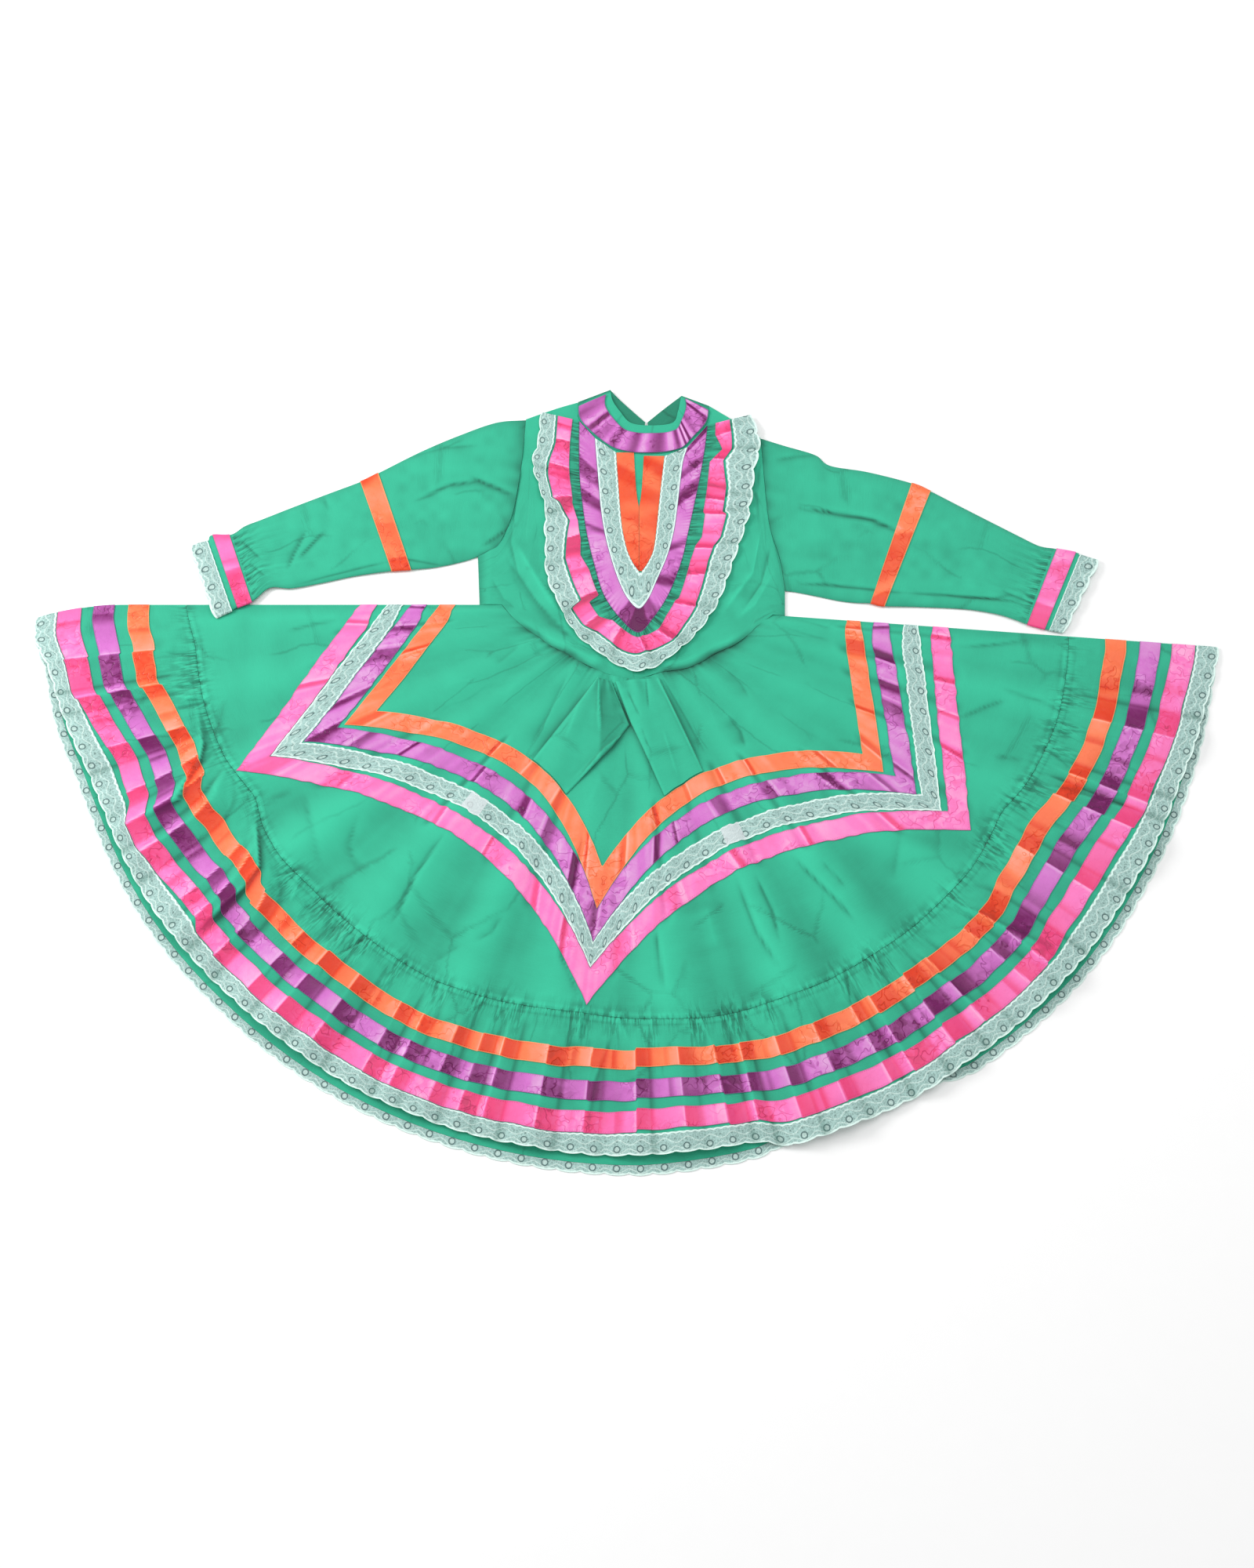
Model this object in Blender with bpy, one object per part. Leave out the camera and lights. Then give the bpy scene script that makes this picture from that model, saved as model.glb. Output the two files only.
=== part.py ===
"""Folklorico dress, laid flat on its back with the skirt spread into a fan.

Run with: blender --background --python part.py

Every cloth piece is a wall of real thickness. The floor is z = 0, the collar points along +Y, the hem along -Y,
and the origin lies on the floor at the centre of the skirt's circle, in the middle of the waist.
Sizes in the tables are millimetres and degrees; the meshes are in metres.
"""

import math
import random

import bmesh
import bpy
import numpy as np

MM = 0.001
CLOTH = 1.0          # thickness of every cloth, ribbon and lace wall
GAP = 0.3            # clearance at seams and between layers
FRONT_Z = CLOTH + GAP    # underside of the front panels, which lie on the back ones
TRIM_LIFT = CLOTH + GAP  # a trim's underside above the underside of the cloth it lies on

# The skirt: a fan round the origin, from the left edge to the right edge.
FAN_START = 180.0
FAN_END = 355.4
TIP_ANGLES = (205.5, 264.5, 323.5)   # the three points of the zigzag
SECTORS_PER_ARM = 8                  # flat sectors between a point and the next valley
SEAM_TO_RIBBONS = 26.0               # the gathered strip between the seam and the flat of the ruffle

# Radii round the fan, as seen from above.
WAIST = np.array([
    # angle, radius
    (180, 162), (200, 125), (223, 103), (245, 100), (268, 103), (295, 103),
    (312, 117), (327, 127), (338, 146), (352, 169), (356, 185),
], dtype=float)
SEAM = np.array([
    # angle, radius
    (180, 563), (186, 549), (196, 546), (203, 541), (210, 527), (214, 538), (219, 543),
    (225, 539), (246, 547), (257, 541), (264, 538), (279, 549), (289, 549), (319, 545),
    (328, 534), (333, 545), (343, 554), (356, 556),
], dtype=float)
HEM = np.array([
    # angle, radius of the back's lace edge, how far the front's lace edge stays inside it
    (180, 753, 0), (183, 752, 0), (187, 739, 5), (193, 733, 14), (199, 721, 17), (204, 718, 18), (215, 720, 18),
    (228, 719, 20), (243, 723, 20), (257, 725, 20), (271, 727, 21), (282, 722, 18), (285, 713, -6), (299, 713, -5),
    (303, 728, 14),
    (317, 731, 16), (328, 729, 16), (340, 731, 13), (349, 737, 6), (353, 741, 0), (356, 747, 0),
], dtype=float)
CORNER_SAG = {"from_radius": 640.0, "drop": 19.0, "fade_angle": 7.0625}   # the left hem corner lies a little lower

# Soft flutes of the skirt front: ridges that grow from the waist to the ruffle.
FLUTES = [
    # angle of the ridge, half width in degrees, height at the seam
    (193.0, 6.0, 3.0), (206.0, 6.5, 5.0), (219.0, 6.0, 7.0), (234.0, 8.0, 8.0), (248.0, 5.0, 5.0),
    (260.0, 6.0, 4.0), (275.0, 6.5, 8.0), (290.0, 6.0, 9.0), (302.0, 5.5, 6.0), (315.0, 7.0, 7.0),
    (331.0, 6.5, 5.0), (345.0, 4.5, 3.0),
]

# Pressed folds of the front ruffle: each rises from the foot before it to its crest, and drops to its own foot.
FOLDS = [
    # angle of the crest, angle of the foot, height at the hem
    (186.4, 189.9, 4.0), (191.0, 192.4, 3.0), (197.4, 199.4, 5.0), (203.2, 204.8, 2.0), (206.6, 208.7, 4.5),
    (209.9, 212.3, 5.0), (216.9, 218.1, 2.0), (219.6, 221.3, 4.0), (223.7, 225.0, 4.0), (228.5, 230.3, 5.0),
    (232.4, 234.6, 5.5), (237.1, 239.2, 5.0), (243.0, 244.6, 4.0), (246.0, 247.4, 3.0), (250.1, 251.5, 3.0),
    (253.2, 254.8, 3.0), (255.7, 257.4, 4.0), (260.8, 262.7, 4.5), (265.4, 267.0, 2.0), (270.7, 272.2, 5.0),
    (275.6, 277.2, 1.5), (279.7, 281.7, 5.0), (282.6, 283.8, 4.5), (286.7, 288.2, 4.5), (291.3, 292.6, 2.5),
    (296.2, 297.3, 3.5), (298.6, 301.3, 5.5), (303.4, 305.8, 4.5), (307.4, 309.3, 3.0), (313.4, 314.9, 2.0),
    (316.1, 319.4, 5.5), (325.2, 327.0, 3.5), (333.2, 335.5, 6.0), (336.7, 338.1, 4.0), (344.4, 347.2, 4.5),
]
COLUMN_STEP = 1.1            # degrees between the columns of the gathers and of the lace scallops, about
FOLD_SNAP = 0.45             # a fold this near to a line of the skirt takes that line
GATHER_HEIGHT = 2.4
SCALLOP = 5.0

# Trims on the front ruffle, as fractions of its depth from the seam to the lace edge.
RUFFLE_BANDS = [
    # name, inner fraction, outer fraction
    ("ruffle_ribbon_orange", 0.235, 0.375),
    ("ruffle_ribbon_purple", 0.465, 0.605),
    ("ruffle_ribbon_pink", 0.680, 0.835),
]
HEM_LACE_FROM = 0.845
RUFFLE_CLOTH_TO = 0.925
BACK_LACE_SHOWING = 12.0     # the back's lace stands out past the back's cloth edge

# The zigzag: outer edges at the left side, the points, the valleys and the right side, all radii.
STAR = [
    # name, width, left side, point, valley, point, valley, point, right side
    ("star_ribbon_orange", 23.0, 240, 391, 268, 402, 272, 388, 293),
    ("star_ribbon_purple", 24.0, 277, 444, 308, 450, 308, 437, 328),
    ("star_lace", 24.0, 307, 489, 344, 483, 348, 473, 366),
    ("star_ribbon_pink", 26.0, 342, 534, 379, 528, 381, 515, 405),
]
VALLEY_ANGLES = (237.0, 293.5)

# The bodice: columns that run from the waist seam up to the armholes, shoulders and neck.
SIDE_LEFT = -190.0
SIDE_RIGHT = 197.0
BODICE_COLUMNS = [
    # the skirt's line it meets at the waist (None at the sides), x and y of the top, what the top belongs to
    (None, -194, 69, "armhole"), (None, -180, 77, "armhole"), (0, -167, 87, "armhole"),
    (2, -152, 125, "armhole"), (4, -145, 165, "armhole"), (6, -140, 210, "armhole"),
    (8, -136, 272, "shoulder"), (11, -100, 287, "shoulder"), (14, -68, 298, "neck"),
    (18, -66, 272, "neck"), (21, -46, 247, "neck"), (24, -17, 225, "neck"), (27, 23, 219, "neck"),
    (31, 65, 225, "neck"), (34, 84, 243, "neck"), (36, 102, 266, "neck"), (38, 106, 292, "neck"),
    (40, 140, 268, "shoulder"), (42, 172, 244, "armhole"), (43, 174, 208, "armhole"),
    (44, 176, 173, "armhole"), (45, 178, 140, "armhole"), (46, 182, 105, "armhole"),
    (48, 193, 62, "armhole"), (None, 198, 20, "armhole"),
]
ARMHOLE_POINTS = 7           # the first and the last columns of the table above
BODICE_ROWS = (0.0, 0.12, 0.34, 0.58, 0.80, 1.0)
BODICE_FOLDS = [
    # column, row, how far the cloth rises there
    (1, 1, 3.0), (1, 3, 3.5), (2, 2, 2.5), (2, 4, 2.0), (3, 1, 3.5), (3, 2, 1.5), (3, 3, 2.5),
    (21, 1, 4.0), (22, 1, 2.5), (22, 2, 4.0), (23, 3, 3.0), (23, 1, 2.0),
]
BACK_NECK = [
    # column, x, y: where the back's neck edge lies, between the shoulders
    (9, -50, 286), (10, -30, 268), (11, -6, 250), (13, 48, 250), (14, 66, 266), (15, 88, 284),
]
CENTRE_BACK = 12
SLIT = (0.15, 0.15, 0.15, 1.5, 3.5, 5.0)    # half the opening at the centre back, a value for each row
SLIT_TOP_Y = 236.0

# Sleeves: a row for each section, from the armhole to the end of the cloth at the cuff.
SLEEVE_LEFT = [
    # x and y on the upper edge, x and y on the lower edge, height of the underside, loft inside
    (-175, 268, -207, 64, 0.0, 2.4), (-222, 249, -228, 58, 0.0, 3.6), (-272, 224, -252, 53, 0.4, 3.0),
    (-327, 191, -279, 50, 1.4, 2.6), (-350, 178, -304, 48, 1.4, 2.6), (-390, 161, -350, 41, 0.6, 3.6),
    (-435, 141, -392, 31, 0.6, 3.0), (-475, 122, -430, 23, 1.6, 2.4), (-495, 112, -457, 23, 3.0, 1.4),
    (-512, 99, -477, 4, 4.0, 1.8), (-537, 98, -498, -6, 4.0, 1.8), (-541, 90, -503, -10, 4.0, 2.0),
    (-553, 86, -514, -16, 4.0, 2.0),
]
SLEEVE_RIGHT = [
    (203, 233, 213, 18, 0.0, 2.4), (243, 219, 240, 12, 0.0, 3.6), (262, 203, 266, 6, 0.0, 3.0),
    (311, 193, 288, 3, 0.6, 3.6), (367, 176, 306, 2, 1.4, 2.6), (391, 164, 324, -2, 1.4, 2.6),
    (430, 141, 368, -3, 0.6, 3.4), (470, 117, 425, -6, 0.6, 2.6), (503, 97, 464, -13, 1.2, 2.0),
    (526, 84, 487, -21, 1.4, 1.4), (546, 80, 501, -27, 1.4, 1.8), (574, 74, 526, -35, 1.4, 1.8),
    (577, 71, 530, -36, 1.4, 2.0), (590, 66, 540, -38, 1.4, 2.0),
]
CUFF_LACE_END = {"left": (-565, 80, -525, -22), "right": (603, 62, 550, -40)}
SLEEVE_ACROSS = (0.0, 0.12, 0.30, 0.50, 0.70, 0.88, 1.0)
SLEEVE_EDGE_HEIGHT = 1.2     # of the fold along each edge above the underside
SLEEVE_EDGE_WALL = 4.0       # the same fold seen from above, wall included
SLEEVE_CREASES = {
    # column across the sleeve, section, how far the upper layer sinks there
    "left": [(2, 2, 1.6), (3, 2, 2.6), (4, 1, 1.2), (2, 6, 1.8), (4, 7, 1.6), (3, 8, 1.4)],
    "right": [(2, 2, 2.0), (3, 4, 2.4), (4, 2, 1.4), (4, 7, 1.8), (2, 8, 1.6), (3, 9, 0.8)],
}
ARMBAND_SECTIONS = {"left": (4, 5), "right": (5, 6)}
CUFF_RIBBON_SECTIONS = {"left": (10, 11), "right": (11, 12)}
CUFF_LACE_SECTIONS = {"left": (12, 13), "right": (13, 14)}

# The stand collar: neck seam and top edge of the front, then of the back's two halves.
COLLAR_FRONT_TOP = [
    # x, y of the top edge above each neck point of the bodice front
    (-25, 317), (-22, 300), (-12, 283), (2, 266), (29, 262), (57, 266), (64, 283), (67, 298), (69, 308),
]
COLLAR_BACK = [
    # neck seam x, y, then top edge x, y; from the centre back to the left fold, then the right half
    (17, 240, 21, 268), (-14, 262, 7, 282), (-44, 283, -13, 303),
    (82, 279, 58, 299), (55, 258, 40, 283), (28, 240, 24, 268),
]
COLLAR_BACK_Z = 1.9          # middle of the wall, above the floor
COLLAR_FOLD_Z = 3.0
COLLAR_SEAM_Z = 3.3
COLLAR_TOP_Z = 4.2
COLLAR_RIBBON = (0.04, 0.62)     # across the band, from the neck seam
COLLAR_PUCKER = 1.6

# The bib: lines that run in a U from the left shoulder round the waist to the right shoulder.
BIB = np.array([
    # insert x, y, lace's outer edge x, y, purple ribbon's outer edge x, y, ruffle's outer edge x, y
    (-17, 221, -45, 243, -66, 269, -122, 284),
    (-16, 200, -43, 215, -66, 232, -124, 240),
    (-14, 170, -40, 178, -65, 188, -128, 202),
    (-12, 140, -37, 140, -61, 146, -107, 150),
    (-9, 108, -32, 104, -55, 102, -112, 98),
    (-3, 78, -24, 68, -46, 60, -106, 42),
    (4, 60, -13, 32, -33, 14, -88, -6),
    (10, 50, -2, 8, -12, -20, -52, -58),
    (14, 45, 12, -6, 11, -40, 12, -96),
    (18, 50, 24, 8, 30, -20, 74, -54),
    (24, 60, 34, 32, 50, 14, 111, -4),
    (31, 78, 48, 68, 67, 62, 134, 60),
    (35, 108, 57, 104, 76, 104, 148, 104),
    (38, 140, 62, 140, 85, 148, 159, 148),
    (41, 170, 66, 176, 93, 190, 165, 194),
    (44, 198, 70, 208, 99, 228, 175, 232),
    (46, 216, 76, 229, 103, 262, 166, 280),
], dtype=float)
BIB_POINT = 8                # the row at the V's point
INSERT_BLUNT = 0.6           # how many rows the insert stops short of the point
SLIT_FRONT = [
    # row of the table above, half the opening between the two orange lengths
    (0, 6.5), (1, 5.2), (2, 2.8), (3, 0.2),
]
SLIT_FRONT_X = 12.5
BIB_PLEATS = 18
BIB_PLEAT_HEIGHT = (1.5, 4.0)
BIB_BANDS = {"pink": (0.16, 0.58), "lace": (0.64, 1.0), "cloth_to": 0.87}

# Tie tails: corners seen from above, and how far they stay from the orange zigzag.
TIES = {
    "tie_left": [(-40, -100), (-123, -219), (-78, -261), (-21, -198), (0, -167), (-22, -107)],
    "tie_right": [(-20, -107), (2, -165), (43, -264), (92, -233), (37, -100)],
}
TIE_CLEAR = 1.0
TIE_BLUNT = 0.6              # degrees cut off a tail's two pointed sides

COLOURS = {
    # name: base colour, roughness
    "green": ((0.035, 0.46, 0.30, 1.0), 0.75),
    "orange": ((0.95, 0.16, 0.04, 1.0), 0.40),
    "purple": ((0.38, 0.07, 0.40, 1.0), 0.40),
    "pink": ((0.95, 0.12, 0.36, 1.0), 0.40),
    "lace": ((0.62, 0.80, 0.76, 1.0), 0.80),
}


def material(name, finish):
    """One Principled material for one piece."""
    colour, roughness = COLOURS[finish]
    made = bpy.data.materials.new(name + "_" + finish)
    made.use_nodes = True
    shader = made.node_tree.nodes["Principled BSDF"]
    shader.inputs["Base Color"].default_value = colour
    shader.inputs["Roughness"].default_value = roughness
    shader.inputs["Metallic"].default_value = 0.0
    return made


def wall(name, finish, low, high, wrap=False):
    """A closed cloth wall between two grids of points [row, column, xyz] in millimetres.

    Both sides use the same diagonal in every cell, so a trim made from a panel's points lies parallel to it.
    With wrap the columns close into a ring, and otherwise the wall has edges on all four sides.
    """
    rows, columns = low.shape[:2]
    count = rows * columns
    index = np.arange(count).reshape(rows, columns)
    right = np.roll(index, -1, axis=1)
    if not wrap:
        index, right = index[:, :-1], right[:, :-1]
    a, b, c, d = (q.ravel() for q in (index[:-1], right[:-1], right[1:], index[1:]))
    under = np.concatenate([np.stack([a, c, b], 1), np.stack([a, d, c], 1)])
    over = np.concatenate([np.stack([a, b, c], 1), np.stack([a, c, d], 1)]) + count
    full = np.arange(count).reshape(rows, columns)
    first, last = full[0], full[-1]
    if wrap:
        rims = [np.append(first, first[0]), np.append(last[::-1], last[-1])]
    else:
        rims = [np.concatenate([first, full[1:, -1], last[-2::-1], full[-2:0:-1, 0], first[:1]])]
    sides = []
    for rim in rims:
        p, q = rim[:-1], rim[1:]
        sides += [np.stack([p, q, q + count], 1), np.stack([p, q + count, p + count], 1)]
    faces = np.concatenate([under, over] + sides)
    points = np.concatenate([low.reshape(-1, 3), high.reshape(-1, 3)]) * MM
    mesh = bpy.data.meshes.new(name)
    mesh.from_pydata(points.tolist(), [], faces.tolist())
    work = bmesh.new()
    work.from_mesh(mesh)
    bmesh.ops.recalc_face_normals(work, faces=work.faces)
    work.to_mesh(mesh)
    work.free()
    mesh.materials.append(material(name, finish))
    piece = bpy.data.objects.new(name, mesh)
    dress.objects.link(piece)
    return piece


def raised(grid, height):
    """The same grid, moved straight up."""
    return grid + np.array([0.0, 0.0, height])


def sheet(name, finish, grid, thickness=CLOTH):
    """A wall that stands on the given underside."""
    return wall(name, finish, grid, raised(grid, thickness))


def polar(angle, radius):
    """x and y of points round the origin."""
    turn = np.radians(angle)
    return np.stack([radius * np.cos(turn), radius * np.sin(turn)], axis=-1)


def look_up(table, angle, column=1):
    """A radius from a table of angles."""
    return np.interp(angle, table[:, 0], table[:, column])


def straight(angle, start, end):
    """Radius of a straight line between two polar points (angle, radius)."""
    (a, ra), (b, rb) = start, end
    one, two = np.radians(angle - a), np.radians(b - angle)
    return ra * rb * np.sin(np.radians(b - a)) / (ra * np.sin(one) + rb * np.sin(two))


def polygon(angle, lines, radii):
    """Radius of the polygon that has its corners on the given lines."""
    k = np.clip(np.searchsorted(lines, angle, side="right") - 1, 0, len(lines) - 2)
    return straight(angle, (lines[k], radii[k]), (lines[k + 1], radii[k + 1]))


def sag(points):
    """Lowers the left hem corner: the drop grows with the square of the distance past a radius."""
    radius = np.hypot(points[..., 0], points[..., 1])
    angle = np.degrees(np.arctan2(points[..., 1], points[..., 0])) % 360.0
    reach = np.clip((radius - CORNER_SAG["from_radius"]) / (HEM[0, 1] - CORNER_SAG["from_radius"]), 0.0, 1.2)
    fade = np.clip(1.0 - (angle - FAN_START) / CORNER_SAG["fade_angle"], 0.0, 1.0)
    fade = np.where(angle < 170.0, 0.0, fade)
    moved = points.copy()
    moved[..., 1] -= CORNER_SAG["drop"] * reach ** 2 * fade
    return moved


class Fan:
    """A cone of flat sectors over the floor: every line from the origin has its own even slope.

    Between two neighbouring lines the surface is a plane, so whatever lies on it can have its own edges there
    and still stay parallel to it.
    """

    def __init__(self, angles, slopes):
        self.angles = np.asarray(angles, dtype=float)
        self.slopes = np.asarray(slopes, dtype=float)

    def height(self, xy):
        """Height above the front panels' underside, exact for every point of the fan."""
        angle = np.degrees(np.arctan2(xy[..., 1], xy[..., 0])) % 360.0
        k = np.clip(np.searchsorted(self.angles, angle + 1e-9) - 1, 0, len(self.angles) - 2)
        one, two = polar(self.angles[k], 1.0), polar(self.angles[k + 1], 1.0)
        area = one[..., 0] * two[..., 1] - one[..., 1] * two[..., 0]
        along_one = (xy[..., 0] * two[..., 1] - xy[..., 1] * two[..., 0]) / area
        along_two = (one[..., 0] * xy[..., 1] - one[..., 1] * xy[..., 0]) / area
        return along_one * self.slopes[k] + along_two * self.slopes[k + 1]

    def grid(self, angles, radii, lift):
        """Points at the given angles, one row for each set of radii, lying on the fan."""
        rows = []
        for radius in radii:
            xy = polar(angles, radius)
            rows.append(np.column_stack([sag(xy), self.height(xy) + lift]))
        return np.array(rows)


def skirt_fan():
    """The skirt front: soft flutes on flat sectors, with sector lines through the zigzag's points."""
    step = (TIP_ANGLES[1] - TIP_ANGLES[0]) / (2 * SECTORS_PER_ARM)
    inner = [TIP_ANGLES[0] + k * step for k in range(-6, 41)]
    angles = np.array([FAN_START] + inner + [FAN_END])
    height = np.zeros_like(angles)
    for centre, half, rise in FLUTES:
        near = np.clip(1.0 - np.abs(angles - centre) / half, 0.0, 1.0)
        height += rise * near * near * (3.0 - 2.0 * near)
    height[:2] = 0.0
    height[-2:] = 0.0
    return Fan(angles, height / look_up(SEAM, angles))


def ruffle_fan(skirt):
    """The front ruffle: the skirt's flutes carried on, with pressed folds that rise slowly and drop sharply.

    Returns the fan and the finer columns of the gathers, which include every line of the skirt and of the fan.
    """
    angles, rises = [FAN_START], [0.0]
    for crest, foot, rise in FOLDS:
        for angle, up in ((crest, rise), (foot, 0.0)):
            line = skirt.angles[np.abs(skirt.angles - angle).argmin()]
            angles.append(line if abs(line - angle) < FOLD_SNAP else angle)
            rises.append(up)
    angles, rises = np.array(angles + [FAN_END]), np.array(rises + [0.0])
    seam = look_up(SEAM, angles)
    base = skirt.height(polar(angles, seam)) / seam
    fixed = np.unique(np.concatenate([skirt.angles, angles]))
    fine = [fixed[:1]]
    for begin, end in zip(fixed[:-1], fixed[1:]):
        steps = max(1, round((end - begin) / COLUMN_STEP))
        fine.append(np.linspace(begin, end, steps + 1)[1:])
    return Fan(angles, base + rises / look_up(HEM, angles)), np.concatenate(fine)


def waist(lines, angle):
    """Radius of the waist seam: straight between the lines that the bodice's columns meet."""
    feet = lines[[line for line, *_ in BODICE_COLUMNS if line is not None]]
    return polygon(angle, feet, look_up(WAIST, feet))


def make_skirt():
    """The front and back panels of the skirt."""
    fan = skirt_fan()
    lines = fan.angles
    inner, outer = waist(lines, lines), look_up(SEAM, lines) - GAP / 2
    sheet("skirt_front", "green", fan.grid(lines, (inner, (inner + outer) / 2, outer), FRONT_Z))
    sheet("skirt_back", "green", floor(fan).grid(lines, (inner, outer), 0.0))
    return fan


def floor(fan):
    """The same lines without any slope."""
    return Fan(fan.angles, np.zeros_like(fan.angles))


def across_ruffle(skirt, angles, share):
    """Radius at a share of the front ruffle's depth, from the seam to its lace edge."""
    seam = polygon(angles, skirt.angles, look_up(SEAM, skirt.angles)) + GAP / 2
    edge = look_up(HEM, angles) - look_up(HEM, angles, 2)
    return seam + share * (edge - seam)


def make_ruffle(skirt):
    """The front ruffle, gathered at its seam and pressed into folds, with its three ribbons and its lace."""
    fan, fine = ruffle_fan(skirt)
    seam = across_ruffle(skirt, fine, 0.0)
    radii = [seam, seam + SEAM_TO_RIBBONS * 0.4, seam + SEAM_TO_RIBBONS,
             across_ruffle(skirt, fine, RUFFLE_CLOTH_TO)]
    grid = fan.grid(fine, radii, FRONT_Z)
    grid[0, :, 2] = skirt.height(polar(fine, seam)) + FRONT_Z
    gathers = np.where(np.arange(len(fine)) % 2 == 1, GATHER_HEIGHT, 0.0)
    gathers[:2] = gathers[-2:] = 0.0
    grid[1, :, 2] = np.maximum(grid[0, :, 2], grid[1, :, 2]) + gathers
    sheet("ruffle_front", "green", grid)
    for name, inner, outer in RUFFLE_BANDS:
        radii = [across_ruffle(skirt, fan.angles, share) for share in (inner, outer)]
        sheet(name, name.split("_")[-1], fan.grid(fan.angles, radii, FRONT_Z + TRIM_LIFT))
    scallops = np.where(np.arange(len(fine)) % 2 == 1, SCALLOP, 0.0)
    radii = [across_ruffle(skirt, fine, HEM_LACE_FROM), across_ruffle(skirt, fine, 1.0) - SCALLOP + scallops]
    sheet("hem_lace_front", "lace", fan.grid(fine, radii, FRONT_Z + TRIM_LIFT))
    make_back_ruffle(floor(skirt), fine, scallops)


def make_back_ruffle(flat, fine, scallops):
    """The back ruffle and its lace, which lie flat on the floor and show past the front's hem."""
    cloth = look_up(HEM, flat.angles) - BACK_LACE_SHOWING - GAP
    seam = look_up(SEAM, flat.angles) + GAP / 2
    sheet("ruffle_back", "green", flat.grid(flat.angles, (seam, cloth), 0.0))
    edge = polygon(fine, flat.angles, cloth) + 2 * GAP
    radii = (edge, look_up(HEM, fine) - SCALLOP + scallops)
    sheet("hem_lace_back", "lace", flat.grid(fine, radii, 0.0))


def rounded(angle, valley, point):
    """Radius of a hyperbola that rounds the valley and runs straight out to the point."""
    (v, rv), (p, rp) = valley, point
    off = math.radians(p - v)
    pull = (math.cos(off) ** 2 - (rv / rp) ** 2) / math.sin(off) ** 2
    turn = np.radians(angle - v)
    return rv / np.sqrt(np.cos(turn) ** 2 - pull * np.sin(turn) ** 2)


def star_edge(angles, radii):
    """Outer radius of one zigzag line at each angle: straight arms at the sides, rounded valleys between."""
    left, tip_1, valley_1, tip_2, valley_2, tip_3, right = radii
    corners = list(zip(TIP_ANGLES, (tip_1, tip_2, tip_3)))
    valleys = list(zip(VALLEY_ANGLES, (valley_1, valley_2)))
    spans = [
        (FAN_START, TIP_ANGLES[0], lambda a: straight(a, (FAN_START, left), corners[0])),
        (TIP_ANGLES[0], VALLEY_ANGLES[0], lambda a: rounded(a, valleys[0], corners[0])),
        (VALLEY_ANGLES[0], TIP_ANGLES[1], lambda a: rounded(a, valleys[0], corners[1])),
        (TIP_ANGLES[1], VALLEY_ANGLES[1], lambda a: rounded(a, valleys[1], corners[1])),
        (VALLEY_ANGLES[1], TIP_ANGLES[2], lambda a: rounded(a, valleys[1], corners[2])),
        (TIP_ANGLES[2], FAN_END, lambda a: straight(a, corners[2], (FAN_END, right))),
    ]
    radius = np.zeros_like(angles)
    for begin, end, line in spans:
        inside = (angles >= begin - 1e-6) & (angles <= end + 1e-6)
        radius[inside] = line(angles[inside])
    return radius


def star_inner(angles, outer, width):
    """Inner edge of a zigzag ribbon: the width is divided by the cosine of its slant, so points are mitred."""
    slope = np.abs(np.diff(outer) / np.radians(np.diff(angles)))
    slope = (np.append(slope, slope[-1]) + np.insert(slope, 0, slope[0])) / 2
    return outer - width * np.sqrt(1.0 + (slope / outer) ** 2)


def make_star(fan):
    """The zigzag of three ribbons and a lace on the skirt front. Returns the orange ribbon's inner edge."""
    previous, orange = None, None
    for name, width, *radii in STAR:
        outer = star_edge(fan.angles, radii)
        inner = star_inner(fan.angles, outer, width)
        if previous is None:
            orange = inner
        else:
            inner = np.maximum(inner, previous + 2 * GAP)
        previous = outer
        sheet(name, name.split("_")[-1], fan.grid(fan.angles, (inner, outer), FRONT_Z + TRIM_LIFT))
    return orange


def ray_span(corners, angle):
    """Nearest and farthest radius at which a ray from the origin crosses a convex outline."""
    direction = polar(angle, 1.0)
    hits = []
    for p, q in zip(corners, np.roll(corners, -1, axis=0)):
        edge = q - p
        cross = direction[0] * edge[1] - direction[1] * edge[0]
        if abs(cross) > 1e-9:
            along = (p[0] * edge[1] - p[1] * edge[0]) / cross
            share = (p[0] * direction[1] - p[1] * direction[0]) / cross
            if -1e-6 <= share <= 1.0 + 1e-6:
                hits.append(along)
    return min(hits), max(hits)


def make_ties(fan, orange):
    """The two green tails that fall from the waist seam over the skirt front, cut along its sector lines."""
    for name, outline in TIES.items():
        corners = np.array(outline, dtype=float)
        turn = np.degrees(np.arctan2(corners[:, 1], corners[:, 0])) % 360.0
        begin, end = turn.min() + TIE_BLUNT, turn.max() - TIE_BLUNT
        angles = np.array(sorted([begin, end] + [a for a in np.concatenate([fan.angles, turn]) if begin < a < end]))
        angles = angles[np.insert(np.diff(angles) > 0.3, 0, True)]
        spans = np.array([ray_span(corners, a) for a in angles])
        near = np.maximum(spans[:, 0], waist(fan.angles, angles) + 1.0)
        far = np.minimum(spans[:, 1], np.interp(angles, fan.angles, orange) - TIE_CLEAR)
        sheet(name, "green", fan.grid(angles, (near, far), FRONT_Z + TRIM_LIFT))


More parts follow.
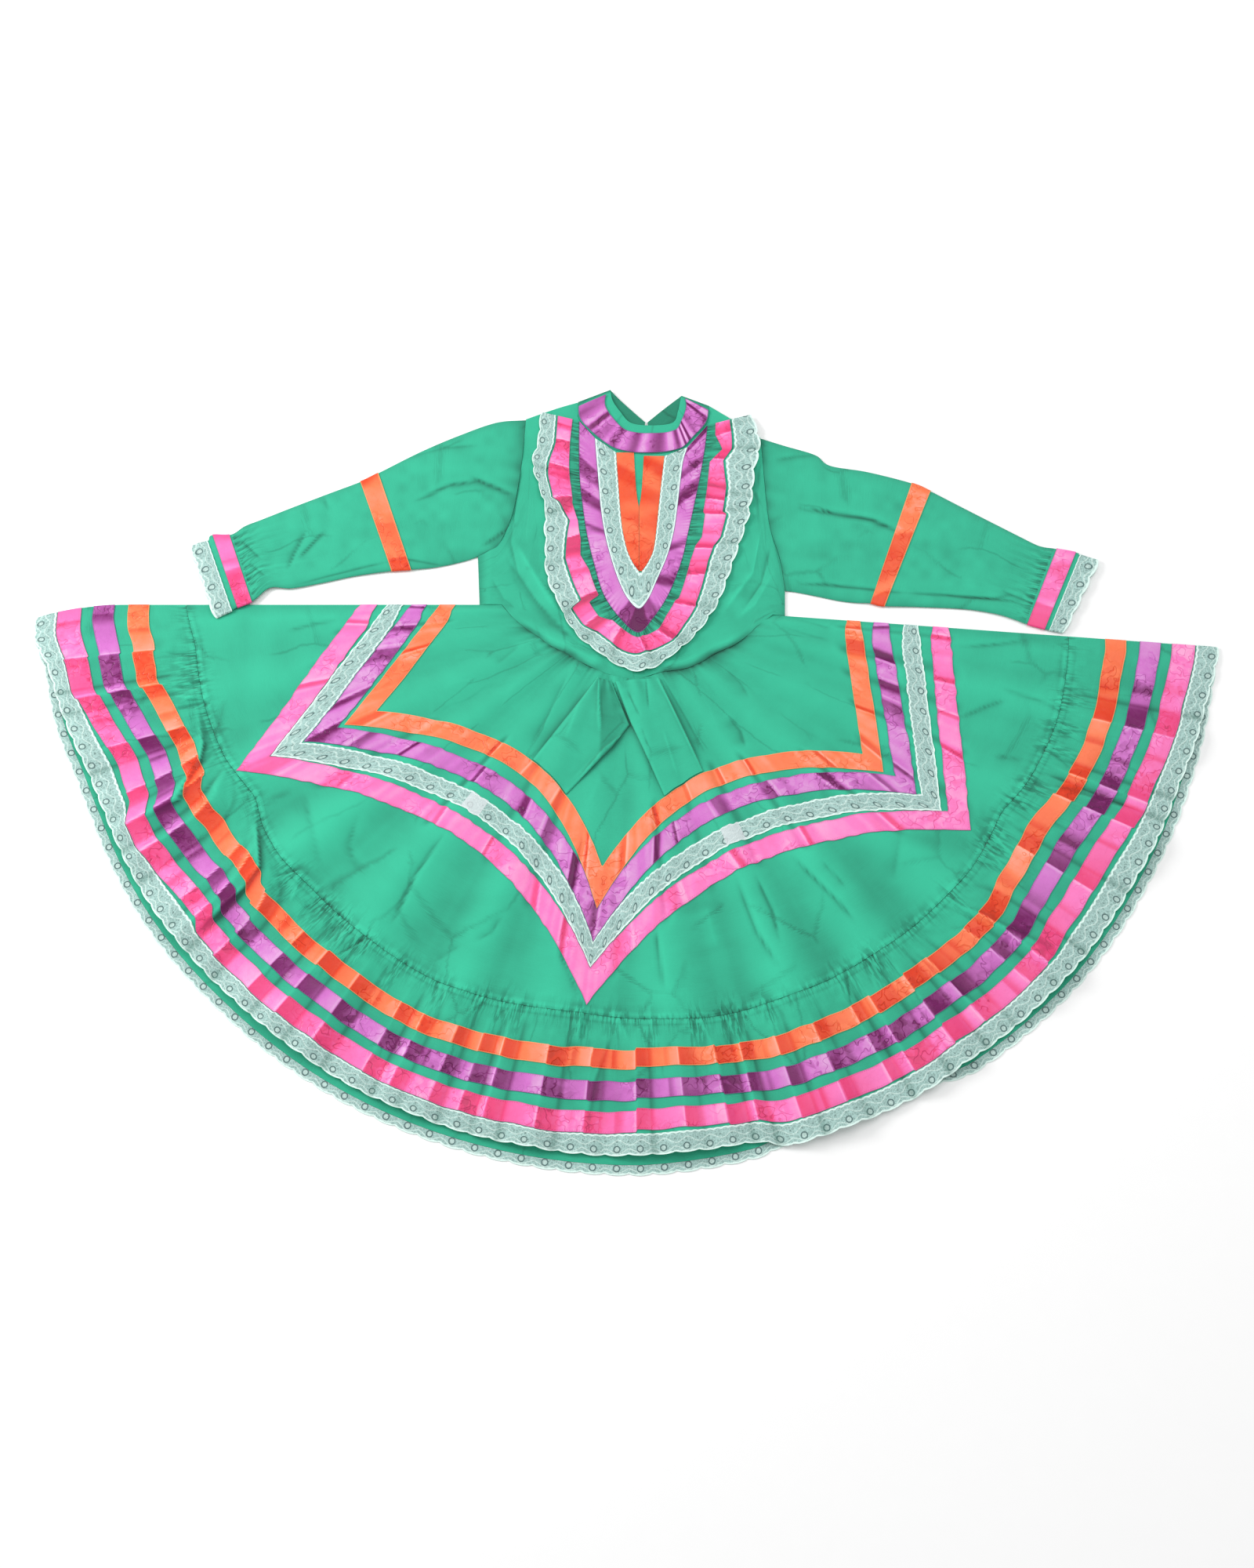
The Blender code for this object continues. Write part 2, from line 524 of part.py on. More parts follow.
def bodice_grid(lines, tops):
    """Rows of points between the waist seam and the given top points, flat at height 0."""
    feet = np.zeros((len(BODICE_COLUMNS), 2))
    for column, (line, *_) in enumerate(BODICE_COLUMNS):
        if line is not None:
            feet[column] = polar(lines[line], look_up(WAIST, lines[line]) - GAP)
    feet[0] = (SIDE_LEFT, GAP)
    feet[1] = ((SIDE_LEFT + feet[2, 0]) / 2, GAP)
    feet[2, 1] = GAP
    feet[-1, 0] = SIDE_RIGHT
    feet[-2:, 1] = feet[-2:, 0] * math.tan(math.radians(FAN_END - 360.0)) + GAP
    share = np.array(BODICE_ROWS)[:, None, None]
    flat = feet[None] * (1.0 - share) + tops[None] * share
    return np.concatenate([flat, np.zeros(flat.shape[:2] + (1,))], axis=2)


def make_bodice(lines):
    """The bodice front with its soft folds beside the bib, and the two flat halves of the back."""
    tops = np.array([(x, y) for _, x, y, _ in BODICE_COLUMNS], dtype=float)
    front = raised(bodice_grid(lines, tops), FRONT_Z)
    for column, row, rise in BODICE_FOLDS:
        front[row, column, 2] += rise
    sheet("bodice_front", "green", front)
    back_tops = tops.copy()
    for column, x, y in BACK_NECK:
        back_tops[column] = (x, y)
    back_tops[CENTRE_BACK] = (tops[CENTRE_BACK, 0], SLIT_TOP_Y)
    back = bodice_grid(lines, back_tops)
    half = np.array(SLIT)
    left, right = back[:, :CENTRE_BACK + 1].copy(), back[:, CENTRE_BACK:].copy()
    left[:, -1, 0] -= half
    right[:, 0, 0] += half
    sheet("bodice_back_left", "green", left)
    sheet("bodice_back_right", "green", right)


def sleeve_sections(side, rows):
    """Outer and inner points of a flattened sleeve, as rings [section, point, xyz].

    The points of a ring run across the upper layer from the shoulder's edge to the underarm's, and back below.
    """
    tops = np.array([(x, y) for _, x, y, _ in BODICE_COLUMNS], dtype=float)
    if side == "left":
        seam = tops[:ARMHOLE_POINTS][::-1] + np.array([-GAP, 0.0])
    else:
        seam = tops[-ARMHOLE_POINTS:] + np.array([GAP, 0.0])
    across = np.array(SLEEVE_ACROSS)[:, None]
    lines, lift, loft = [seam], [0.0], [2.0]
    for x_up, y_up, x_down, y_down, under, inside in rows:
        lines.append(np.array((x_up, y_up)) * (1 - across) + np.array((x_down, y_down)) * across)
        lift.append(under)
        loft.append(inside)
    lines, lift, loft = np.array(lines, dtype=float), np.array(lift), np.array(loft)
    hollow = np.repeat(loft[:, None], len(SLEEVE_ACROSS), axis=1)
    for column, section, sink in SLEEVE_CREASES[side]:
        hollow[section, column] = max(hollow[section, column] - sink, GAP)
    base = lift[:, None]
    inset = lines[:, -1] - lines[:, 0]
    inset = SLEEVE_EDGE_WALL * inset / np.linalg.norm(inset, axis=1)[:, None]
    inner_lines = lines.copy()
    inner_lines[:, 0] += inset
    inner_lines[:, -1] -= inset

    def ring(plan, low, high):
        edge = base + SLEEVE_EDGE_HEIGHT
        upper = np.concatenate([edge, high[:, 1:-1], edge], axis=1)
        lower = np.repeat(low, plan.shape[1] - 2, axis=1)
        top = np.concatenate([plan, upper[..., None]], axis=2)
        bottom = np.concatenate([plan[:, -2:0:-1], lower[..., None]], axis=2)
        return np.concatenate([top, bottom], axis=1)

    outer = ring(lines, base, base + 2 * CLOTH + hollow)
    inner = ring(inner_lines, base + CLOTH, base + CLOTH + hollow)
    return outer, inner


def band_round(name, finish, outer, far=None):
    """A trim round a sleeve: the sleeve's own outer points, moved out. far adds a last section past the cloth."""
    middle = len(SLEEVE_ACROSS)
    across = outer[:, middle - 1, :2] - outer[:, 0, :2]
    across /= np.linalg.norm(across, axis=1)[:, None]
    out = np.zeros_like(outer)
    out[:, 1:middle - 1, 2] = 1.0
    out[:, middle:, 2] = -1.0
    out[:, 0, :2] = -across
    out[:, middle - 1, :2] = across
    near, wide = outer + out * GAP, outer + out * (GAP + CLOTH)
    if far is not None:
        start, end = np.array(far[:2], dtype=float), np.array(far[2:], dtype=float)
        move = np.zeros_like(outer[-1])
        shares = list(SLEEVE_ACROSS) + list(SLEEVE_ACROSS[-2:0:-1])
        for k, share in enumerate(shares):
            move[k, :2] = start * (1 - share) + end * share - outer[-1, k, :2]
        near = np.concatenate([near, near[-1:] + move])
        wide = np.concatenate([wide, wide[-1:] + move])
    wall(name, finish, near, wide, wrap=True)


def make_sleeves():
    """Both sleeves with their orange bands, pink cuff ribbons and cuff laces."""
    for side, rows in (("left", SLEEVE_LEFT), ("right", SLEEVE_RIGHT)):
        outer, inner = sleeve_sections(side, rows)
        wall("sleeve_" + side, "green", inner, outer, wrap=True)
        for name, finish, sections, far in (
            ("armband_", "orange", ARMBAND_SECTIONS, None),
            ("cuff_ribbon_", "pink", CUFF_RIBBON_SECTIONS, None),
            ("cuff_lace_", "lace", CUFF_LACE_SECTIONS, CUFF_LACE_END[side]),
        ):
            first, last = sections[side]
            band_round(name + side, finish, outer[first:last + 1], far)


def between(points):
    """The points with one more in the middle of each step."""
    middle = (points[:-1] + points[1:]) / 2
    doubled = np.empty((len(points) + len(middle),) + points.shape[1:])
    doubled[::2], doubled[1::2] = points, middle
    return doubled


def make_collar():
    """The stand collar, one band from the centre back round the front and back again, and its ribbon."""
    neck = np.array([(x, y) for _, x, y, kind in BODICE_COLUMNS if kind == "neck"], dtype=float)
    top = np.array(COLLAR_FRONT_TOP, dtype=float)
    inward = top - neck
    neck = neck + 1.5 * GAP * inward / np.linalg.norm(inward, axis=1)[:, None]
    neck, top = between(neck), between(top)
    back = np.array(COLLAR_BACK, dtype=float)
    half = len(back) // 2
    plan = [((s[0], s[1]), (s[2], s[3])) for s in back[:half]]
    plan += [(neck[0], top[0])] + list(zip(neck[1:-1], top[1:-1])) + [(neck[-1], top[-1])]
    plan += [((s[0], s[1]), (s[2], s[3])) for s in back[half:]]
    plan = np.array([[np.array(p, dtype=float), np.array(q, dtype=float)] for p, q in plan])
    sections = len(plan)
    heights = np.full((sections, 2), COLLAR_BACK_Z)
    heights[half + 1:-half - 1] = (COLLAR_SEAM_Z, COLLAR_TOP_Z)
    heights[half] = heights[-half - 1] = COLLAR_FOLD_Z
    out = np.zeros((sections, 2, 3))
    out[:half, :, 2] = out[-half:, :, 2] = -1.0
    out[half + 1:-half - 1, :, 2] = 1.0
    for fold, away in ((half, -1.0), (sections - half - 1, 1.0)):
        line = plan[fold, 1] - plan[fold, 0]
        line = line / np.linalg.norm(line)
        out[fold, :, 0], out[fold, :, 1] = away * line[1], -away * line[0]
    centre = np.concatenate([plan, heights[..., None]], axis=2)
    inner, outer = centre - out * CLOTH / 2, centre + out * CLOTH / 2
    wall("collar", "green", inner, outer)
    front = outer[half + 1:-half - 1]
    low, high = COLLAR_RIBBON
    near = front[:, 0] * (1 - low) + front[:, 1] * low
    far = front[:, 0] * (1 - high) + front[:, 1] * high
    ribbon = np.stack([near, far])
    ribbon[..., 2] += GAP + COLLAR_PUCKER * (np.arange(ribbon.shape[1]) % 2)
    sheet("collar_ribbon", "purple", ribbon)


def bib_lines(stations):
    """The four lines of the bib at the given stations, each [station, xy], smooth between the table's rows."""
    rows = np.arange(len(BIB))
    padded = np.vstack([2 * BIB[0] - BIB[1], BIB, 2 * BIB[-1] - BIB[-2]])
    k = np.clip(np.floor(stations).astype(int), 0, len(rows) - 2)
    t = (stations - k)[:, None]
    p0, p1, p2, p3 = (padded[k + j] for j in range(4))
    curve = 0.5 * (2 * p1 + (p2 - p0) * t + (2 * p0 - 5 * p1 + 4 * p2 - p3) * t ** 2
                   + (3 * p1 - p0 - 3 * p2 + p3) * t ** 3)
    return [curve[:, 2 * j:2 * j + 2] for j in range(4)]


def flat_strip(name, finish, inner, outer, lift):
    """A flat strip between two lines, pulled in by half a seam gap on each side."""
    width = outer - inner
    width = GAP / 2 * width / np.linalg.norm(width, axis=1)[:, None]
    grid = np.stack([inner + width, outer - width])
    grid = np.concatenate([grid, np.full(grid.shape[:2] + (1,), lift)], axis=2)
    return sheet(name, finish, grid)


def bib_pleats():
    """Stations of the pleats round the bib's U, and how high the ruffle rises at each."""
    chance = random.Random(5)
    widths = np.array([chance.uniform(0.75, 1.25) for _ in range(BIB_PLEATS)])
    starts = (len(BIB) - 1) * np.concatenate([[0.0], np.cumsum(widths) / widths.sum()])
    stations, rises = [0.0], [0.0]
    for k in range(BIB_PLEATS):
        stations += [starts[k] + 0.72 * (starts[k + 1] - starts[k]), starts[k + 1]]
        rises += [chance.uniform(*BIB_PLEAT_HEIGHT), 0.0]
    stations = np.array(stations)
    stations[np.abs(stations - BIB_POINT).argmin()] = BIB_POINT
    return stations, np.array(rises)


def make_bib():
    """The bib on the bodice front: orange insert, lace, purple ribbon, and the pleated ruffle with its trims."""
    lift = FRONT_Z + TRIM_LIFT
    stations, rises = bib_pleats()
    insert, lace, purple, ruffle = bib_lines(stations)
    flat_strip("bib_lace_inner", "lace", insert, lace, lift)
    flat_strip("bib_ribbon_purple", "purple", lace, purple, lift)
    rows, gaps = np.array(SLIT_FRONT).T
    for name, sign, side in (("bib_insert_left", -1, stations < BIB_POINT - INSERT_BLUNT),
                             ("bib_insert_right", 1, stations > BIB_POINT + INSERT_BLUNT)):
        edge = insert[side]
        opening = np.interp(BIB_POINT - np.abs(stations[side] - BIB_POINT), rows, gaps)
        middle = np.column_stack([SLIT_FRONT_X + sign * opening, edge[:, 1]])
        flat_strip(name, "orange", middle, edge, lift)
    start = purple + GAP * (ruffle - purple) / np.linalg.norm(ruffle - purple, axis=1)[:, None]
    shares = (0.0, *BIB_BANDS["pink"], BIB_BANDS["lace"][0], BIB_BANDS["cloth_to"], BIB_BANDS["lace"][1])
    grid = np.array([start * (1 - s) + ruffle * s for s in shares])
    rise = np.array([[0.35, 1.0, 1.0, 1.0, 1.0, 1.0]]).T * rises
    grid = np.concatenate([grid, (lift + rise)[..., None]], axis=2)
    sheet("bib_ruffle", "green", grid[:5])
    sheet("bib_ribbon_pink", "pink", raised(grid[1:3], TRIM_LIFT))
    sheet("bib_lace_outer", "lace", raised(grid[3:6], TRIM_LIFT))


def main():
    skirt = make_skirt()
    make_ruffle(skirt)
    orange = make_star(skirt)
    make_ties(skirt, orange)
    make_bodice(skirt.angles)
    make_sleeves()
    make_collar()
    make_bib()


for old in list(bpy.data.objects):
    bpy.data.objects.remove(old, do_unlink=True)
dress = bpy.data.collections.new("folklorico_dress")
bpy.context.scene.collection.children.link(dress)
main()
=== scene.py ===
"""Looks of the folklorico dress: cloth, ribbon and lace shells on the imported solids.

The dress lies on its back. +Y points to the collar and +Z up through the front. Sizes in the tables are
millimetres and degrees, as seen from above round the origin, on the floor under the middle of the waist.
"""

import math

import bpy
import numpy as np
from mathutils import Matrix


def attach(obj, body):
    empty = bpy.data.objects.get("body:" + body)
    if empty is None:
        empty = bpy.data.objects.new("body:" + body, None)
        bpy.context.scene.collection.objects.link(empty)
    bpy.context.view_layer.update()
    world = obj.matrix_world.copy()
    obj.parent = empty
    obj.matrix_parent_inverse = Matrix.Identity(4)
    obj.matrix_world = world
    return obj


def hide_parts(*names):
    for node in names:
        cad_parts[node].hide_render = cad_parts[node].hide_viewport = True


bl_info = {
    "name": "Folklorico dress",
    "version": (1, 0, 0),
    "blender": (4, 5, 0),
    "location": "3D View > Sidebar > Dress",
    "description": "Dresses the packed solids in cloth, satin ribbon and lace",
    "category": "Object",
}

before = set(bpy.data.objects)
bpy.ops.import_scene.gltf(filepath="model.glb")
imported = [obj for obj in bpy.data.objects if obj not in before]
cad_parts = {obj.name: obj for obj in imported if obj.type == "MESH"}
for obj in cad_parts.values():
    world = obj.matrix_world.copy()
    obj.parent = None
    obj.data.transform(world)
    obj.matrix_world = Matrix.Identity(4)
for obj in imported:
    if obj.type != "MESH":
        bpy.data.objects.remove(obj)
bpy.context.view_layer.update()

MM = 0.001
FRONT_Z = 1.3            # underside of the front panels, which lie on the back ones
SKIRT_LOFT = 1.7         # even height of the skirt front above that
TRIM_LIFT = 1.1          # a trim's underside above the underside of the cloth it lies on
CLOTH = 0.8              # thickness of the cloth shells
RIBBON = 0.6             # thickness of the ribbon and lace shells
SEAM_GAP = 0.3
SHARP_FROM = 55.0        # angle between faces from which an edge is drawn sharp
FAN_START, FAN_END = 180.0, 355.4
TIP_ANGLES = (205.5, 264.5, 323.5)
VALLEY_ANGLES = (237.0, 293.5)

# Radii round the fan.
WAIST = [
    # angle, radius
    (180, 162), (200, 125), (223, 103), (245, 100), (268, 103), (295, 103), (312, 117), (327, 127),
    (338, 146), (352, 169), (356, 185),
]
SEAM = [
    # angle, radius
    (180, 563), (186, 549), (196, 546), (203, 541), (210, 527), (214, 538), (219, 543), (225, 539),
    (246, 547), (257, 541), (264, 538), (279, 549), (289, 549), (319, 545), (328, 534), (333, 545),
    (343, 554), (356, 556),
]
HEM = [
    # angle, radius of the back's lace edge, how far the front's lace edge stays inside it
    (180, 753, 0), (183, 752, 0), (187, 739, 5), (193, 733, 14), (199, 721, 17), (204, 718, 18),
    (215, 720, 18), (228, 719, 20), (243, 723, 20), (257, 725, 20), (271, 727, 21), (282, 722, 18),
    (285, 713, -6), (299, 713, -5), (303, 728, 14), (317, 731, 16), (328, 729, 16), (340, 731, 13),
    (349, 737, 6), (353, 741, 0), (356, 747, 0),
]
CORNER_SAG = {"from_radius": 640.0, "drop": 19.0, "fade_angle": 7.0625}
FLUTES = [
    # angle of the ridge, half width in degrees, height at the seam
    (193.0, 6.0, 3.0), (206.0, 6.5, 5.0), (219.0, 6.0, 7.0), (234.0, 8.0, 8.0), (248.0, 5.0, 5.0),
    (260.0, 6.0, 4.0), (275.0, 6.5, 8.0), (290.0, 6.0, 9.0), (302.0, 5.5, 6.0), (315.0, 7.0, 7.0),
    (331.0, 6.5, 5.0), (345.0, 4.5, 3.0),
]
FOLDS = [
    # angle of the crest, angle of the foot to its right, height at the hem
    (186.4, 189.9, 4.0), (191.0, 192.4, 3.0), (197.4, 199.4, 5.0), (203.2, 204.8, 2.0), (206.6, 208.7, 4.5),
    (209.9, 212.3, 5.0), (216.9, 218.1, 2.0), (219.6, 221.3, 4.0), (223.7, 225.0, 4.0), (228.5, 230.3, 5.0),
    (232.4, 234.6, 5.5), (237.1, 239.2, 5.0), (243.0, 244.6, 4.0), (246.0, 247.4, 3.0), (250.1, 251.5, 3.0),
    (253.2, 254.8, 3.0), (255.7, 257.4, 4.0), (260.8, 262.7, 4.5), (265.4, 267.0, 2.0), (270.7, 272.2, 5.0),
    (275.6, 277.2, 1.5), (279.7, 281.7, 5.0), (282.6, 283.8, 4.5), (286.7, 288.2, 4.5), (291.3, 292.6, 2.5),
    (296.2, 297.3, 3.5), (298.6, 301.3, 5.5), (303.4, 305.8, 4.5), (307.4, 309.3, 3.0), (313.4, 314.9, 2.0),
    (316.1, 319.4, 5.5), (325.2, 327.0, 3.5), (333.2, 335.5, 6.0), (336.7, 338.1, 4.0), (344.4, 347.2, 4.5),
]
FOLD_LEANS = [
    # angle at the hem, how many degrees to the left a fold starts at the seam
    (180, 0), (197, 0), (206.5, 7), (212, 4), (219.6, 7.5), (228, 0), (262, 0), (266, -1.4), (269, 0),
    (302, 0), (307.5, 1.5), (313, 2.5), (317, 3.2), (322, 0), (356, 0),
]
FLAPS = [
    # half width, height, then angle and share of the ruffle's depth of each point along a folded flap's edge
    (9, 4.2, 194, 0.05, 200, 0.10, 202, 0.17, 204, 0.33, 206, 0.47, 206.4, 0.82),
    (9, 4.4, 210, 0.01, 214, 0.05, 217, 0.12, 218.5, 0.17, 219.6, 0.35, 220.0, 0.60, 220.4, 0.94),
    (7, 1.6, 305.6, 0.12, 306.8, 0.45, 307.9, 0.85), (7, 1.8, 313.6, 0.02, 315.5, 0.40, 317.4, 0.85),
    (6, 1.2, 268.2, 0.02, 266.0, 0.5, 265.4, 1.0), (6, 1.3, 333.6, 0.05, 335.6, 0.95),
]
BAND_DRIFT = [
    # angle, how far the trims lie outward of their place, as a share of the ruffle's depth
    (180, 0.01), (183, 0.02), (190, 0.045), (193, 0.0), (196, -0.03), (199.5, -0.06), (204, -0.04),
    (206, 0.045), (209, 0.045), (213, -0.01), (216, -0.05), (219.4, -0.05), (220.4, 0.015), (245, 0.03),
    (262, 0.025), (267, -0.005), (300, 0.0), (317, 0.01), (320, -0.035), (330, -0.035), (340, 0.0),
    (356, 0.0),
]
GATHER_GROUPS = [
    # first and last angle where the gathers at the ruffle's seam are deep
    (187, 195), (221, 224), (226, 236), (239, 241), (245.5, 247.5), (250.5, 252), (253.5, 257),
    (262.5, 265.5), (267.5, 269), (271.5, 273.5), (277, 279), (281, 284), (286.5, 288), (296, 298.5),
    (300, 303), (313.5, 315), (320.5, 326), (329, 331), (332, 334), (338, 340), (341, 343), (345.5, 348.5),
]
RUFFLE_BANDS = [
    # trim, inner share and outer share of the ruffle's depth, seed of its satin folds
    ("orange", 0.235, 0.375, 21), ("purple", 0.465, 0.605, 22), ("pink", 0.680, 0.835, 23),
]
HEM_LACE_FROM = 0.845
RUFFLE_CLOTH_TO = 0.925
BACK_LACE_SHOWING = 12.0
RUFFLE_DEPTH = 165.0     # of the front ruffle with its lace, about
SCALLOP = 2.6
LACE_PITCH = 28.0        # from one ring of the lace to the next
RIBBON_WIDTH = 25.0
SCALLOPS = 80            # of the front's hem lace, one eyelet ring each
SEAM_GATHERS = 186       # waves at the ruffle's seam
LOOSE_GATHER = 0.14      # depth of the gathers outside GATHER_GROUPS
WAIST_GATHERS = 40
STAR_COLUMNS = 760

STAR = [
    # trim, width, left side, point, valley, point, valley, point, right side (all radii), seed
    ("orange", 23.0, (240, 391, 268, 409, 272, 388, 293), 31),
    ("purple", 24.0, (277, 444, 308, 450, 308, 437, 328), 32),
    ("lace", 24.0, (307, 489, 344, 483, 348, 473, 366), 33),
    ("pink", 26.0, (342, 534, 379, 528, 381, 515, 405), 34),
]
STAR_FOLDS = [
    # angle, half width in degrees, depth of a crease that runs through the zigzag
    (186.2, 0.7, 1.6), (192.6, 0.8, 1.2), (213.6, 1.0, 1.2), (230.6, 0.8, 1.8), (243.5, 1.1, 1.0),
    (253.2, 1.2, 1.6), (260.4, 0.7, 2.4), (268.2, 0.8, 1.2), (276.4, 1.0, 2.0), (285.0, 1.0, 0.9),
    (294.6, 1.2, 1.6), (303.4, 1.0, 2.0), (316.6, 0.8, 1.8), (326.8, 1.1, 1.2), (334.0, 0.9, 1.5),
    (341.0, 1.2, 1.4), (347.2, 1.6, 2.2), (353.6, 0.7, 1.2),
]
STAR_SHADE_BLOCKS = {
    # trim: angle, half width in degrees and depth of the painted shade blocks along it, where the satin turns
    # from the light
    "orange": (
        (193, 0.7, 0.4), (206, 1, 0.3), (230, 0.6, 0.4), (242.5, 1.6, 0.25), (252.5, 1.4, 0.35),
        (261, 0.5, 0.45), (268.5, 0.8, 0.3), (276.5, 0.7, 0.45), (285, 0.7, 0.2), (295, 0.7, 0.35),
        (303.7, 0.6, 0.45), (318, 0.6, 0.4), (327, 0.9, 0.3), (333.5, 0.6, 0.4), (347.2, 3, 0.35),
        (353.5, 0.6, 0.4),
    ),
    "purple": (
        (181, 0.5, 0.4), (187, 1, 0.4), (193.7, 2.2, 0.4), (201, 1, 0.5), (206, 1, 0.5), (210, 0.9, 0.4),
        (216.5, 0.5, 0.5), (231.5, 0.6, 0.45), (244.5, 1.5, 0.45), (253, 2, 0.4), (259.5, 1, 0.7),
        (264, 0.7, 0.3), (276, 1, 0.55), (280, 0.5, 0.4), (292.5, 2.4, 0.35), (303.2, 1.7, 0.5),
        (315.8, 1.2, 0.45), (322, 0.5, 0.4), (325.5, 0.5, 0.4), (335.2, 2.1, 0.3), (340, 1.4, 0.45),
        (347.5, 1.5, 0.65), (354, 0.6, 0.4),
    ),
    "pink": (
        (184, 0.6, 0.4), (196, 0.6, 0.4), (206, 2, 0.25), (213.5, 1.5, 0.3), (231, 0.7, 0.35),
        (242.5, 0.4, 0.5), (253.5, 0.9, 0.4), (260, 0.6, 0.5), (268, 2, 0.2), (277, 2, 0.25), (291, 1, 0.5),
        (304.5, 0.6, 0.45), (317.3, 0.6, 0.4), (333, 0.6, 0.4), (338.7, 0.5, 0.4), (345, 0.7, 0.4),
        (353, 0.7, 0.5),
    ),
}
LACE_JOINS = [
    # first and last angle of the doubled patches of the zigzag's lace
    (233.2, 237.6), (289.6, 294.0),
]

# Creases of the skirt, drawn from the waist down.
SKIRT_CREASES = [
    # half width, height (below 0 for a trough), then x and y of each point along it
    (4, -1.2, -437, -39, -400, -28, -365, -21), (11, -1.2, -400, -252, -386, -303, -372, -359),
    (5, -1, -326, -275, -340, -324, -334, -344, -308, -369),
    (6, -2.6, -221, -306, -257, -364, -275, -408, -288, -437), (5, -1.3, -150, -413, -165, -438, -188, -450),
    (4, -1, -197, -452, -234, -474), (5, -1.4, -86, -452, -70, -490, -58, -520),
    (6, -1, -136, -56, -170, -88), (9, -2.2, -72, -88, -100, -150, -127, -207),
    (4, -1.2, -3, -168, -40, -206, -78, -248), (5, -2.2, -30, -93, -8, -140, 16, -190),
    (4, -1.6, 31, -83, 66, -150, 99, -215), (5, -1, 119, -88, 139, -110, 150, -134),
    (5, -2.2, 121, -153, 137, -174, 144, -200), (5, -1.2, 203, -17, 262, -36), (5, -0.6, 184, -28, 262, -55),
    (5, -1.8, 406, -61, 470, -55, 509, -47, 554, -42), (5, -1.6, 404, -159, 452, -138, 476, -132),
    (5, -1.4, 457, -115, 519, -138, 561, -161), (5, -1.1, 445, -208, 489, -214),
    (6, -2.4, 125, -359, 151, -437, 182, -490), (5, -2.2, 148, -359, 170, -408, 180, -457),
    (6, -2.4, 191, -335, 250, -399, 276, -432), (5, -1.3, 229, -344, 264, -384),
    (10, -1, 329, -304, 316, -374), (5, -2.2, 30, -427, 41, -514), (18, 1, -330, -80, -360, -140),
    (18, 1, 330, -60, 350, -150), (16, 1.2, -60, -380, -75, -450), (16, 1.1, 90, -400, 105, -460),
]

SIDE_LEFT, SIDE_RIGHT = -190.0, 197.0
BODICE_COLUMNS = [
    # angle of the foot on the waist (None at the sides), x and y of the top
    (None, -194, 69), (None, -180, 77), (180.0, -167, 87),
    (187.1, -152, 125), (194.4, -145, 165), (201.8, -140, 210),
    (209.2, -136, 272), (220.2, -100, 287), (231.3, -68, 298),
    (246.1, -66, 272), (257.1, -46, 247), (268.2, -17, 225), (279.2, 23, 219),
    (294.0, 65, 225), (305.1, 84, 243), (312.4, 102, 266), (319.8, 106, 292),
    (327.2, 140, 268), (334.6, 172, 244), (338.3, 174, 208),
    (341.9, 176, 173), (345.6, 178, 140), (349.3, 182, 105),
    (355.4, 193, 62), (None, 198, 20),
]
ARMHOLE_POINTS = 7                   # columns at each end
NECK = slice(8, 17)                  # columns along the front's neck
BODICE_CORNERS = (6, 8, 16, 18)      # columns where the top edge turns
BACK_NECK = [
    # column, x and y of the back's neck edge between the shoulders
    (9, -50, 286), (10, -30, 268), (11, -6, 250), (13, 48, 250), (14, 66, 266), (15, 88, 284),
]
CENTRE_BACK = 12
SLIT = (0.15, 0.15, 0.15, 1.5, 3.5, 5.0)     # half the opening at the centre back, from the waist up
BODICE_ROWS = (0.0, 0.12, 0.34, 0.58, 0.80, 1.0)
SLIT_TOP_Y = 236.0
BODICE_CREASES = [
    # half width, height, then x and y of each point along it
    (6, -2.6, -160, 70, -123, 10, -98, -23, -60, -60), (9, 2.0, -148, 92, -110, 22, -84, -20),
    (5, -1.4, -136, 210, -146, 162, -153, 90, -135, 10), (7, 1.8, 172, 120, 158, 45, 112, -20),
    (5, -1.6, 183, 90, 168, 30, 140, -14), (8, 1.2, 186, 50, 160, 0, 130, -24),
    (5, -1.2, 172, 215, 166, 160, 168, 110), (5, -1.2, -178, 40, -160, 8, -140, -10),
    (5, -0.8, 150, 255, 130, 262), (5, -0.8, -122, 278, -100, 281),
]

SLEEVE_ROWS = {
    # x and y on the upper edge, x and y on the lower edge, height of the underside, loft inside
    "left": [
        (-175, 268, -207, 64, 0.0, 2.4), (-222, 249, -228, 58, 0.0, 3.6), (-272, 224, -252, 53, 0.4, 3.0),
        (-327, 191, -279, 50, 1.4, 2.6), (-350, 178, -304, 48, 1.4, 2.6), (-390, 161, -350, 41, 0.6, 3.6),
        (-435, 141, -392, 31, 0.6, 3.0), (-475, 122, -430, 23, 1.6, 2.4), (-495, 112, -457, 23, 3.0, 1.4),
        (-512, 99, -477, 4, 4.0, 1.8), (-537, 98, -498, -6, 4.0, 1.8), (-541, 90, -503, -10, 4.0, 2.0),
        (-553, 86, -514, -16, 4.0, 2.0),
    ],
    "right": [
        (203, 233, 213, 18, 0.0, 2.4), (243, 219, 240, 12, 0.0, 3.6), (262, 203, 266, 6, 0.0, 3.0),
        (311, 193, 288, 3, 0.6, 3.6), (367, 176, 306, 2, 1.4, 2.6), (391, 164, 324, -2, 1.4, 2.6),
        (430, 141, 368, -3, 0.6, 3.4), (470, 117, 425, -6, 0.6, 2.6), (503, 97, 464, -13, 1.2, 2.0),
        (526, 84, 487, -21, 1.4, 1.4), (546, 80, 501, -27, 1.4, 1.8), (574, 74, 526, -35, 1.4, 1.8),
        (577, 71, 530, -36, 1.4, 2.0), (590, 66, 540, -38, 1.4, 2.0),
    ],
}
CUFF_LACE_END = {"left": (-565, 80, -525, -22), "right": (603, 62, 550, -40)}
